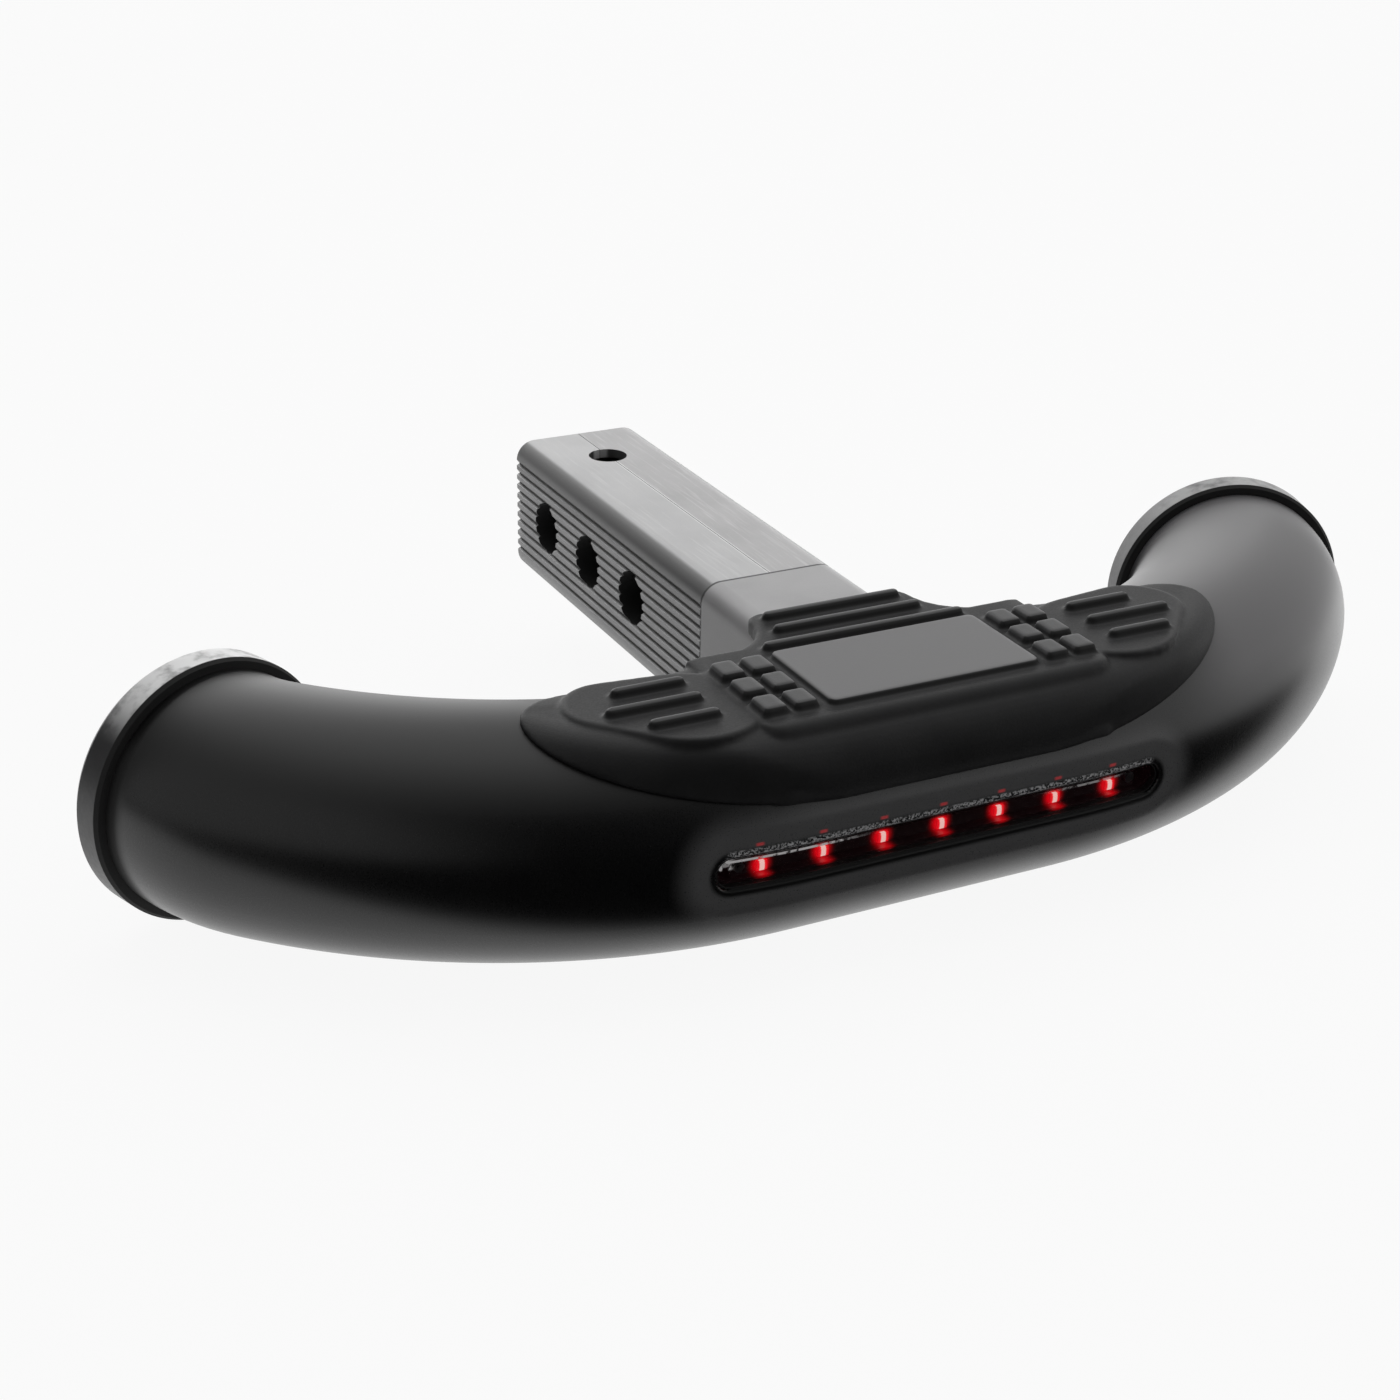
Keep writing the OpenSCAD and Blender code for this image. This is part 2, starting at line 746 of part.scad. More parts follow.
// Spring clips that hook behind the tube's wall at the ends of the tray
module light_clips() {
    t = 0.6;
    w = 5;
    foot = 6;
    x0 = lamp_l / 2 + seat;
    y0 = -R + tube_wall + line_y(lamp_l / 2 + hook_reach) + hook_room;
    y1 = tray_back + seat;
    color([0.75, 0.75, 0.78]) placed() mirrored()
        translate([0, 0, slot_rise - w / 2]) linear_extrude(w) polygon([
            [x0, y0], [x0 + t, y0], [x0 + hook_reach - t, y0 - 2 * t],
            [x0 + hook_reach, y0 - 1.4 * t], [x0 + t, y0 + 2 * t], [x0 + t, y1 + t],
            [x0 - foot, y1 + t], [x0 - foot, y1], [x0, y1]
        ]);
}

// Lead exit

module lead_grommet() {
    color([0.03, 0.03, 0.03]) placed() difference() {
        lead_axis() union() {
            cylinder(h = R + 3.4, d = lead_hole_d - fit);
            translate([0, 0, R]) cylinder(h = 2.6, d = lead_hole_d + 5);
            translate([0, 0, tube_in - 2.4]) cylinder(h = 2.4, d = lead_hole_d + 3);
        }
        lead_axis() cylinder(h = 2 * R, d = lead_hole_d - 4);
        intersection() {
            along_middle(2) difference() {
                circle(R + seat, $fn = 128);
                circle(tube_in - seat, $fn = 128);
            }
            difference() {
                lead_axis() cylinder(h = 2 * R, d = 3 * lead_hole_d);
                lead_axis() cylinder(h = 3 * R, d = lead_hole_d - fit, center = true);
            }
        }
        lead_axis() translate([0, 0, -1]) cylinder(h = tube_in - 2.4 + 1, d = 3 * lead_hole_d);
    }
}

step_tube();
end_cap_left();
end_cap_right();
shank_bar();
shank_plug();
shank_collar();
sleeve_left();
sleeve_right();
step_pad();
pad_pegs();
light_housing();
light_gasket();
light_lens();
light_board();
light_leds();
light_resistors();
light_diode();
light_terminal();
board_screws();
light_clips();
lead_grommet();
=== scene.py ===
# %% [markdown]
# # A hitch step with a rubber tread, a lamp bar and a ribbed adapter sleeve
#
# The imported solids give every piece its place. This script gives them their
# looks: a satin black tube with a pressed recess round the lamp, a moulded
# rubber pad, scuffed plastic caps, a mid grey plastic sleeve and a red lamp
# bar with seven hot points of light. Sizes are in millimetres and are turned
# to metres where a mesh is made.

# %% Load the solids
import math

import bmesh
import bpy
from mathutils import Matrix, Vector


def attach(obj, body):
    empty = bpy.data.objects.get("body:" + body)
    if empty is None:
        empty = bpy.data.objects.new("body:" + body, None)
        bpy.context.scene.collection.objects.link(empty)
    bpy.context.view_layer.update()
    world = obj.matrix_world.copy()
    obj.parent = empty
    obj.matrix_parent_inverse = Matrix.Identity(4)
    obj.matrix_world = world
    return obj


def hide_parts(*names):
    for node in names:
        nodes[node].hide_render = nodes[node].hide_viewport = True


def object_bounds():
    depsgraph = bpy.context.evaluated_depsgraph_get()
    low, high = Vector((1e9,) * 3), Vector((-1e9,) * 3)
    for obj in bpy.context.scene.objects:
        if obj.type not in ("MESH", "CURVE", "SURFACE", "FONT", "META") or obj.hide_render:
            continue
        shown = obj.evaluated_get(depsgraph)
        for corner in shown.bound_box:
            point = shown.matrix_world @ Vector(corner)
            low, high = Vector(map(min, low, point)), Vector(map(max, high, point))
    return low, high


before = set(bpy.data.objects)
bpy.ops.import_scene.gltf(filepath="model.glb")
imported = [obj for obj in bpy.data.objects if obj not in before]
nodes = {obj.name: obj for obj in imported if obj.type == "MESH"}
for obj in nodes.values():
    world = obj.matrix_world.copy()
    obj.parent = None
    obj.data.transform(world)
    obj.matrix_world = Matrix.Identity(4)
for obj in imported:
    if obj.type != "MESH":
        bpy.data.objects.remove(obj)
cad_box = [list(c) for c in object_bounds()]
print("solids:", len(nodes), "nodes")

# %% [markdown]
# ## Sizes
#
# The tube's middle runs straight, bends back in a wide arc and then in a
# tighter one. All shapes are drawn in the tube's own frame, with its centre
# in the middle of the straight stretch, and are then moved to the shank's
# middle pin hole, which is the model's origin.

# %% Sizes
MM = 0.001
TUBE_R = 38.1
STRAIGHT = 45.0
BEND_R = 180.0
BEND = math.radians(47)
END_R = 50.0
END_BEND = math.radians(24)
ARC_1 = BEND_R * BEND
ARC_2 = END_R * END_BEND
ORIGIN = Vector((0.0, -168.0, -13.0))
SLOT_HALF = 76.0
SLOT_R = 5.2
SLOT_Z = 0.0
PAD_TOP = 39.5
DECK_Z = 41.0
LOBE_Z = 40.7


def to_model(p):
    """A point of the tube's frame, in mm, as a point of the model, in metres."""
    return (Vector(p) + ORIGIN) * MM


def centre_line(s):
    """Centre (x, y) and heading of the tube at path length s from the middle."""
    a = abs(s)
    if a <= STRAIGHT:
        x, y, turn = a, 0.0, 0.0
    elif a <= STRAIGHT + ARC_1:
        turn = (a - STRAIGHT) / BEND_R
        x = STRAIGHT + BEND_R * math.sin(turn)
        y = BEND_R * (1 - math.cos(turn))
    else:
        turn = BEND + (a - STRAIGHT - ARC_1) / END_R
        inner = BEND_R - END_R
        x = STRAIGHT + inner * math.sin(BEND) + END_R * math.sin(turn)
        y = BEND_R - inner * math.cos(BEND) - END_R * math.cos(turn)
    side = -1.0 if s < 0 else 1.0
    return side * x, y, side * turn


def on_tube(s, phi, r):
    """Point at path length s, angle phi from the crown to the front, radius r."""
    x, y, turn = centre_line(s)
    out = r * math.sin(phi)
    return (x + out * math.sin(turn), y - out * math.cos(turn), r * math.cos(phi))


# %% [markdown]
# ## Helpers for meshes
#
# Most pieces here are swept grids or slabs with rounded outlines. Each helper
# makes one closed mesh, so that pieces of rubber can be melted into one skin
# later. A new piece rides on the one body.
# Plain cubes and cylinders with bevels would be quicker, but they can't follow
# the bent tube.

# %% Mesh helpers
def new_object(name, verts, faces, smooth=True):
    mesh = bpy.data.meshes.new(name)
    mesh.from_pydata([to_model(v) for v in verts], [], faces)
    mesh.validate()
    if smooth:
        mesh.polygons.foreach_set("use_smooth", [True] * len(mesh.polygons))
    piece = bpy.data.objects.new(name, mesh)
    bpy.context.scene.collection.objects.link(piece)
    return piece


def fix_normals(piece):
    bm = bmesh.new()
    bm.from_mesh(piece.data)
    bmesh.ops.recalc_face_normals(bm, faces=bm.faces)
    bm.to_mesh(piece.data)
    bm.free()


# %% [markdown]
# Blocks, lobes, bars and the tongue are all slabs: an outline carried up, with
# sloping sides and a rounded top edge, as a mould would leave them.

# %% Slabs
def slab(outline, low, high, edge=0.0, draft=0.0, steps=4):
    """Closed upright prism of an outline (x, y)."""
    n = len(outline)
    cx = sum(p[0] for p in outline) / n
    cy = sum(p[1] for p in outline) / n
    rings = [(0.0, low)]
    for i in range(steps + 1):
        a = math.pi / 2 * i / steps
        rings.append((draft + edge * (1 - math.cos(a)), high - edge * (1 - math.sin(a))))
    verts, faces = [], []
    for inset, z in rings:
        for k in range(n):
            p, q, r = Vector(outline[k - 1]), Vector(outline[k]), Vector(outline[(k + 1) % n])
            along = (r - p).normalized()
            inward = Vector((-along.y, along.x))
            if inward.dot(Vector((cx, cy)) - q) < 0:
                inward = -inward
            verts.append((q.x + inward.x * inset, q.y + inward.y * inset, z))
    for i in range(len(rings) - 1):
        for k in range(n):
            a, b = i * n + k, i * n + (k + 1) % n
            faces.append((a, b, b + n, a + n))
    faces.append(tuple(range(n)))
    faces.append(tuple(len(verts) - n + k for k in range(n)))
    return verts, faces


# %% [markdown]
# Three outlines serve all of them: a box with round corners, an egg round two
# circles, and a capsule.

# %% Outlines
def rounded_box_outline(cx, cy, half_x, half_y, r, steps=5):
    pts = []
    corners = [(1, 1, 0), (-1, 1, 90), (-1, -1, 180), (1, -1, 270)]
    for sx, sy, start in corners:
        for i in range(steps + 1):
            a = math.radians(start + 90 * i / steps)
            pts.append((cx + sx * (half_x - r) + r * math.cos(a),
                        cy + sy * (half_y - r) + r * math.sin(a)))
    return pts


def egg_outline(c1, r1, c2, r2, steps=20):
    """Outline round two circles, counter-clockwise."""
    d = Vector(c2) - Vector(c1)
    a = math.atan2(d.y, d.x)
    b = math.acos((r1 - r2) / d.length)
    pts = []
    for i in range(steps + 1):
        t = a - b + 2 * b * i / steps
        pts.append((c2[0] + r2 * math.cos(t), c2[1] + r2 * math.sin(t)))
    for i in range(steps + 1):
        t = a + b + (2 * math.pi - 2 * b) * i / steps
        pts.append((c1[0] + r1 * math.cos(t), c1[1] + r1 * math.sin(t)))
    return pts


def capsule(cx, cy, half, r, steps=8):
    pts = []
    for side, start in ((1, -90), (-1, 90)):
        for i in range(steps + 1):
            a = math.radians(start + 180 * i / steps)
            pts.append((cx + side * (half - r) + r * math.cos(a), cy + r * math.sin(a)))
    return pts


def flip_x(verts):
    return [(-x, y, z) for x, y, z in verts]


def join(parts):
    """Several (verts, faces) as one."""
    verts, faces = [], []
    for v, f in parts:
        k = len(verts)
        verts += v
        faces += [tuple(i + k for i in face) for face in f]
    return verts, faces


# %% [markdown]
# ## The tube
#
# Steel tube with a black powder coat. The real recess round the lamp is
# pressed in with a die, so the surface dips softly towards the slot and rolls
# over at its edge. A grid on the tube's own path can do that with a sum of
# two dips, with rows laid along the slot's straight edges so they stay crisp.

# %% Recess round the slot
DISH = 1.1
DISH_REACH = 9.0
LIP = 1.2


def slot_gap(x, z):
    """Distance outside the slot's outline, seen from the front."""
    dx = max(0.0, abs(x) - (SLOT_HALF - SLOT_R))
    return math.hypot(dx, z - SLOT_Z) - SLOT_R


def smooth01(t):
    t = min(1.0, max(0.0, t))
    return t * t * (3 - 2 * t)


def press_depth(gap):
    dish = DISH * smooth01(1 - gap / DISH_REACH)
    roll = 0.0
    if gap < LIP:
        u = 1 - max(0.0, gap) / LIP
        roll = LIP * (1 - math.sqrt(max(0.0, 1 - u * u)))
    return dish + roll


# %% [markdown]
# Rows lie close together at the slot's edge and ends and wide apart elsewhere.
# Faces over the slot are left out, and a solidify gives the wall its thickness.

# %% Tube
WALL = 2.4


def spread(a, b, step):
    n = max(1, round((b - a) / step))
    return [a + (b - a) * i / n for i in range(n)]


def tube_shell():
    end = STRAIGHT + ARC_1 + ARC_2
    half = spread(0, 66, 3) + spread(66, 80, 0.5) + spread(80, 92, 2)
    half += spread(92, end, 3) + [end + 0.3]
    stations = [-s for s in half[:0:-1]] + half
    top = math.degrees(math.acos((SLOT_Z + SLOT_R) / TUBE_R))
    low = math.degrees(math.acos((SLOT_Z - SLOT_R) / TUBE_R))
    angles = spread(-180, 55, 3) + spread(55, top - 4, 0.8) + spread(top - 4, top, 0.25)
    angles += spread(top, low, 0.6) + spread(low, low + 4, 0.25)
    angles += spread(low + 4, 112, 0.8) + spread(112, 180, 3)
    verts, faces = [], []
    gaps = []
    for s in stations:
        for a in angles:
            phi = math.radians(a)
            p = on_tube(s, phi, TUBE_R)
            gap = 99.0
            if 50 < a < 125:
                gap = slot_gap(p[0], p[2])
                if gap < 10:
                    p = on_tube(s, phi, TUBE_R - press_depth(gap))
            gaps.append(gap)
            verts.append(p)
    n = len(angles)
    for i in range(len(stations) - 1):
        for k in range(n):
            quad = (i * n + k, i * n + (k + 1) % n, (i + 1) * n + (k + 1) % n, (i + 1) * n + k)
            if min(gaps[v] for v in quad) > -0.06:
                faces.append(quad)
    used = sorted({v for f in faces for v in f})
    index = {v: i for i, v in enumerate(used)}
    verts = [verts[v] for v in used]
    faces = [tuple(index[v] for v in f) for f in faces]
    return new_object("tube_shell", verts, faces)


tube = tube_shell()
fix_normals(tube)
wall = tube.modifiers.new("wall", "SOLIDIFY")
wall.thickness = WALL * MM
wall.offset = -1
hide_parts("step_tube")
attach(tube, "root")
print("tube shell:", len(tube.data.polygons), "quads")

# %% [markdown]
# ## The tread pad
#
# One piece of moulded rubber: a body that wraps the tube and thins out at its
# seam, a deck with a rounded nose, two lobes, a tongue over the shank, and
# raised blocks, bars and a bare panel. Each form is a closed mesh of its own.
# They are melted together by a voxel remesh, and a short smoothing gives the
# soft fillets that a rubber mould leaves. What lies against the tube is then
# cut away, because it is never seen.

# %% Pad body
PAD_HALF = 116.5
FRONT_EDGE = 64.5
REAR_EDGE = 40.0
MID = 8.0


def pad_width(s):
    t = max(0.0, (abs(s) - 35.0) / (PAD_HALF - 35.0))
    return math.sqrt(max(0.0, 1 - t ** 1.6))


def pad_radius(s, a, front, rear):
    """Outer radius of the body at angle a, in degrees from the crown."""
    phi = math.radians(a)
    wall = 37.2 if a > 0 else 33.0
    r = (abs(math.cos(phi)) / PAD_TOP) ** 7 + (abs(math.sin(phi)) / wall) ** 7
    r = r ** (-1 / 7)
    to_edge = (front - a) if a > MID else (a + rear)
    middle = 1 - smooth01((abs(s) - 40) / 40)
    reach = 10 + 12 * (1 - middle)
    thin = 2.6 * middle + 1.5 * (1 - middle)
    share = math.sin(min(1.0, max(0.0, to_edge / reach)) * math.pi / 2)
    return TUBE_R + thin + max(0.0, r - TUBE_R - thin) * share


def pad_body():
    steps, n = 120, 44
    verts, faces = [], []
    for i in range(steps + 1):
        s = -PAD_HALF + 2 * PAD_HALF * i / steps
        s = PAD_HALF * math.sin(math.pi / 2 * s / PAD_HALF) * 0.9995
        w = pad_width(s)
        front = MID + (FRONT_EDGE - MID) * w
        rear = -MID + (REAR_EDGE + MID) * w
        outer, inner = [], []
        for k in range(n + 1):
            a = -rear + (front + rear) * k / n
            outer.append(on_tube(s, math.radians(a), pad_radius(s, a, front, rear)))
            inner.append(on_tube(s, math.radians(a), TUBE_R - 1.2))
        verts += outer + inner[::-1]
    ring = 2 * (n + 1)
    for i in range(steps):
        for k in range(ring):
            a, b = i * ring + k, i * ring + (k + 1) % ring
            faces.append((a, b, b + ring, a + ring))
    faces.append(tuple(range(ring)))
    faces.append(tuple(steps * ring + k for k in range(ring)))
    return verts, faces


# %% [markdown]
# The deck's side profile has a small rounded nose above a nearly upright
# front. Its ends are rounded in plan, which leaves the soft step beside the
# lobes. Bars are capsules cut flat below, and blocks are low pillows.

# %% Deck, bars and tongue
def deck():
    """Deck slab: a profile (y, z) carried along X and drawn in at its ends."""
    profile = [(-22.0, 30.0), (-22.4, 38.6), (-21.4, DECK_Z), (27.6, DECK_Z)]
    for i in range(1, 6):
        a = math.radians(90 - 16 * i)
        profile.append((28.6 + 3.2 * math.cos(a), DECK_Z - 3.2 + 3.2 * math.sin(a)))
    profile += [(33.4, 33.0), (35.0, 27.0), (36.2, 22.0), (36.6, 18.6), (33.0, 17.6), (20.0, 30.0)]
    half = [0, 30, 50, 53.5, 55.5, 57.0, 58.0, 58.4]
    draw = [0, 0, 0, 0.15, 0.6, 1.5, 3.0, 5.0]
    xs = [-x for x in half[:0:-1]] + half
    ins = draw[:0:-1] + draw
    verts, faces = [], []
    n = len(profile)
    for x, inset in zip(xs, ins):
        back = centre_line(x)[1]
        for f, z in profile:
            k = 1.0 if f > 20 else 0.0
            verts.append((x, back - f + inset * k, z - 0.25 * inset * (z > 32)))
    for i in range(len(xs) - 1):
        for k in range(n):
            a, b = i * n + k, i * n + (k + 1) % n
            faces.append((a, b, b + n, a + n))
    faces.append(tuple(range(n)))
    faces.append(tuple((len(xs) - 1) * n + k for k in range(n)))
    return verts, faces


def bar(cx, cy, half, base, width=4.6, height=2.7):
    """Raised bar with round ends and a rounded back, along X."""
    return slab(capsule(cx, cy, half, width / 2), base - 1, base + height, edge=1.6, draft=0.5)


def block(cx, cy):
    """Low pillow, one of the twelve beside the panel."""
    outline = rounded_box_outline(cx, cy, 4.5, 5.8, 1.9)
    return slab(outline, DECK_Z - 1, DECK_Z + 2.8, edge=1.0, draft=0.9)


def tongue():
    """Outline that flares into the deck, dropped over the shank's top edges."""
    right = [(46.0, 14.0), (44.0, 20.5), (40.0, 22.0), (36.2, 24.2), (32.8, 27.3), (30.2, 31.2),
             (28.8, 35.5), (28.2, 39.5), (26.8, 42.4), (23.4, 44.0)]
    pts = right + [(-x, y) for x, y in right[::-1]]
    return slab(pts, 36.2, DECK_Z, edge=1.2)


# %% [markdown]
# The tread is laid out once for one side and mirrored: two columns of three
# blocks and a lobe with three bars. The panel and three bars lie in the middle.

# %% Tread
def tread_parts():
    parts = [pad_body(), deck(), tongue()]
    lobe = egg_outline((71.5, -6.2), 22.6, (90.5, 3.6), 15.0)
    lobe_part = slab(lobe, 33.0, LOBE_Z, edge=1.0)
    parts += [lobe_part, (flip_x(lobe_part[0]), lobe_part[1])]
    parts.append(slab(rounded_box_outline(0, -6.1, 35.8, 19.5, 2.8), DECK_Z - 1.5,
                      DECK_Z + 2.0, edge=0.8, draft=0.4))
    for side in (-1, 1):
        for cx in (42.6, 52.4):
            for cy in (6.4, -6.4, -19.2):
                parts.append(block(side * cx, cy))
        parts.append(bar(side * 78.0, 6.9, 12.2, LOBE_Z))
        parts.append(bar(side * 81.4, -4.5, 15.6, LOBE_Z))
        parts.append(bar(side * 77.4, -16.1, 11.6, LOBE_Z))
    parts.append(bar(0, 17.6, 35.4, DECK_Z))
    parts.append(bar(0, 28.0, 26.3, DECK_Z))
    parts.append(bar(0, 38.1, 24.7, DECK_Z))
    return parts


# %% [markdown]
# The parts are melted with a voxel remesh, softened, and trimmed of what lies
# against the tube or the shank. Joining them with exact cuts instead would
# leave hard creases that a rubber mould never has.

# %% Melt the pad
VOXEL = 0.62


def nearest_radius(p):
    """Distance of a point of the tube's frame from the tube's centre line."""
    x, y, z = abs(p[0]), p[1], p[2]
    rho = y if x <= STRAIGHT else BEND_R - math.hypot(x - STRAIGHT, y - BEND_R)
    return math.hypot(rho, z)


def melted_pad():
    verts, faces = join(tread_parts())
    rough = new_object("rough_pad", verts, faces)
    melt = rough.modifiers.new("melt", "REMESH")
    melt.mode = "VOXEL"
    melt.voxel_size = VOXEL * MM
    soften = rough.modifiers.new("soften", "SMOOTH")
    soften.factor = 0.5
    soften.iterations = 4
    done = rough.evaluated_get(bpy.context.evaluated_depsgraph_get())
    mesh = bpy.data.meshes.new_from_object(done)
    mesh.name = "tread_pad"
    bm = bmesh.new()
    bm.from_mesh(mesh)
    hidden = []
    for face in bm.faces:
        p = face.calc_center_median() / MM - ORIGIN
        over_shank = abs(p.x) < 24.0 and p.y > 12 and p.z < 38.1
        if nearest_radius(p) < TUBE_R + 0.05 or over_shank:
            hidden.append(face)
    bmesh.ops.delete(bm, geom=hidden, context="FACES")
    bm.to_mesh(mesh)
    bm.free()
    mesh.polygons.foreach_set("use_smooth", [True] * len(mesh.polygons))
    bpy.data.objects.remove(rough)
    piece = bpy.data.objects.new("tread_pad", mesh)
    bpy.context.scene.collection.objects.link(piece)
    return piece


pad = melted_pad()
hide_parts("step_pad")
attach(pad, "root")
print("tread pad:", len(pad.data.polygons), "quads")

# %% [markdown]
# ## Materials
#
# Every finish is a small network of nodes on object coordinates, so it needs
# no picture and looks the same each time. Two shared groups do what repeats,
# and the shader with its plain values stays outside them. The first group
# makes fine grain, for bump and roughness, and a slow cloud that keeps a flat
# face from looking like one flat colour.

# %% Grain
def add(tree, kind, x=0, y=0, **values):
    node = tree.nodes.new(kind)
    node.location = (x, y)
    for key, value in values.items():
        setattr(node, key, value)
    return node


def grain_group():
    tree = bpy.data.node_groups.new("Grain", "ShaderNodeTree")
    io = tree.interface
    io.new_socket("Vector", in_out="INPUT", socket_type="NodeSocketVector")
    size = io.new_socket("Scale", in_out="INPUT", socket_type="NodeSocketFloat")
    size.default_value = 900
    io.new_socket("Fine", in_out="OUTPUT", socket_type="NodeSocketFloat")
    io.new_socket("Cloud", in_out="OUTPUT", socket_type="NodeSocketFloat")
    start = add(tree, "NodeGroupInput", -600)
    end = add(tree, "NodeGroupOutput", 400)
    fine = add(tree, "ShaderNodeTexNoise", -200, 150)
    fine.inputs["Detail"].default_value = 4
    cloud = add(tree, "ShaderNodeTexNoise", -200, -150)
    cloud.inputs["Detail"].default_value = 3
    part = add(tree, "ShaderNodeMath", -400, -150, operation="MULTIPLY")
    part.inputs[1].default_value = 0.03
    link = tree.links.new
    link(start.outputs["Vector"], fine.inputs["Vector"])
    link(start.outputs["Vector"], cloud.inputs["Vector"])
    link(start.outputs["Scale"], fine.inputs["Scale"])
    link(start.outputs["Scale"], part.inputs[0])
    link(part.outputs[0], cloud.inputs["Scale"])
    link(fine.outputs["Fac"], end.inputs["Fine"])
    link(cloud.outputs["Fac"], end.inputs["Cloud"])
    return tree


GRAIN = grain_group()
print("grain group:", len(GRAIN.nodes), "nodes")

# %% [markdown]
# The second group says where a point lies in the tube's own frame and how far
# it is from the tube's bent centre line, in millimetres. Wear on a bent tube
# follows these, not the plain X, Y and Z of the model. It could be painted on
# instead, but a formula keeps its place when a size changes.

# %% Place in the tube's frame
def tube_group():
    tree = bpy.data.node_groups.new("TubeFrame", "ShaderNodeTree")
    io = tree.interface
    io.new_socket("Vector", in_out="INPUT", socket_type="NodeSocketVector")
    for name in ("X", "Y", "Z", "Radius"):
        io.new_socket(name, in_out="OUTPUT", socket_type="NodeSocketFloat")
    start = add(tree, "NodeGroupInput", -1000)
    end = add(tree, "NodeGroupOutput", 800)
    local = add(tree, "ShaderNodeVectorMath", -800, operation="MULTIPLY_ADD")
    local.inputs[1].default_value = (1 / MM, 1 / MM, 1 / MM)
    local.inputs[2].default_value = -ORIGIN
    parts = add(tree, "ShaderNodeSeparateXYZ", -600)
    side = add(tree, "ShaderNodeMath", -400, 200, operation="ABSOLUTE")
    past = add(tree, "ShaderNodeMath", -250, 200, operation="SUBTRACT")
    past.inputs[1].default_value = STRAIGHT
    bent = add(tree, "ShaderNodeMath", -100, 200, operation="MAXIMUM")
    bent.inputs[1].default_value = 0
    inward = add(tree, "ShaderNodeMath", -400, -50, operation="SUBTRACT")
    inward.inputs[1].default_value = BEND_R
    plan = add(tree, "ShaderNodeCombineXYZ", 50, 100)
    reach = add(tree, "ShaderNodeVectorMath", 200, 100, operation="LENGTH")
    off = add(tree, "ShaderNodeMath", 350, 100, operation="SUBTRACT")
    off.inputs[0].default_value = BEND_R
    both = add(tree, "ShaderNodeCombineXYZ", 500, 0)
    radius = add(tree, "ShaderNodeVectorMath", 650, 0, operation="LENGTH")
    link = tree.links.new
    link(start.outputs["Vector"], local.inputs[0])
    link(local.outputs[0], parts.inputs[0])
    link(parts.outputs["X"], side.inputs[0])
    link(side.outputs[0], past.inputs[0])
    link(past.outputs[0], bent.inputs[0])
    link(parts.outputs["Y"], inward.inputs[0])
    link(bent.outputs[0], plan.inputs["X"])
    link(inward.outputs[0], plan.inputs["Y"])
    link(plan.outputs[0], reach.inputs[0])
    link(reach.outputs["Value"], off.inputs[1])
    link(off.outputs[0], both.inputs["X"])
    link(parts.outputs["Z"], both.inputs["Y"])
    link(both.outputs[0], radius.inputs[0])
    for name in ("X", "Y", "Z"):
        link(parts.outputs[name], end.inputs[name])
    link(radius.outputs["Value"], end.inputs["Radius"])
    return tree


TUBE_FRAME = tube_group()
print("tube frame group:", len(TUBE_FRAME.nodes), "nodes")

# %% [markdown]
# A plain finish is two close tones blended by the cloud, with the fine grain
# in its roughness and bump. Every painted, moulded or steel piece starts from
# it, and wear and painted light and shade are laid over it later. One recipe
# with a few numbers keeps all the blacks and greys of the product alike.

# %% Plain finish
def finish_material(name, dark, light, rough, grain_scale=900, bump=0.05, specular=0.5,
                    metallic=0.0):
    mat = bpy.data.materials.new(name)
    mat.use_nodes = True
    tree = mat.node_tree
    tree.nodes.clear()
    link = tree.links.new
    out = add(tree, "ShaderNodeOutputMaterial", 900)
    shader = add(tree, "ShaderNodeBsdfPrincipled", 600)
    coord = add(tree, "ShaderNodeTexCoord", -700)
    grain = add(tree, "ShaderNodeGroup", -450, node_tree=GRAIN)
    grain.inputs["Scale"].default_value = grain_scale
    tone = add(tree, "ShaderNodeMix", 100, 150, data_type="RGBA")
    tone.inputs["A"].default_value = (*dark, 1)
    tone.inputs["B"].default_value = (*light, 1)
    span = add(tree, "ShaderNodeMapRange", -200, 150)
    span.inputs["From Min"].default_value = 0.35
    span.inputs["From Max"].default_value = 0.65
    gloss = add(tree, "ShaderNodeMapRange", -200, -120)
    gloss.inputs["From Min"].default_value = 0.3
    gloss.inputs["From Max"].default_value = 0.7
    gloss.inputs["To Min"].default_value = rough - 0.04
    gloss.inputs["To Max"].default_value = rough + 0.04
    relief = add(tree, "ShaderNodeBump", 300, -250)
    relief.inputs["Strength"].default_value = bump
    relief.inputs["Distance"].default_value = 0.4 * MM
    shader.inputs["Metallic"].default_value = metallic
    shader.inputs["Specular IOR Level"].default_value = specular
    link(coord.outputs["Object"], grain.inputs["Vector"])
    link(grain.outputs["Cloud"], span.inputs["Value"])
    link(grain.outputs["Fine"], gloss.inputs["Value"])
    link(grain.outputs["Fine"], relief.inputs["Height"])
    link(span.outputs["Result"], tone.inputs["Factor"])
    link(tone.outputs["Result"], shader.inputs["Base Color"])
    link(gloss.outputs["Result"], shader.inputs["Roughness"])
    link(relief.outputs["Normal"], shader.inputs["Normal"])
    link(shader.outputs["BSDF"], out.inputs["Surface"])
    return mat


# %% [markdown]
# ## Masks
#
# Wear and painted light and shade are tints where a mask is 1. A mask is a
# product of ramps, and each ramp goes smoothly from 0 to 1 between two values
# of a coordinate, a direction or a noise. So a painted strip reads like a
# sentence: above this, below that, and only where the grain is high.

# %% Coordinates and noise
def split(tree, vector):
    parts = add(tree, "ShaderNodeSeparateXYZ", -1800, 1500)
    tree.links.new(vector, parts.inputs[0])
    return parts.outputs


def coordinates(tree, kind="Object"):
    return add(tree, "ShaderNodeTexCoord", -2200, 1500).outputs[kind]


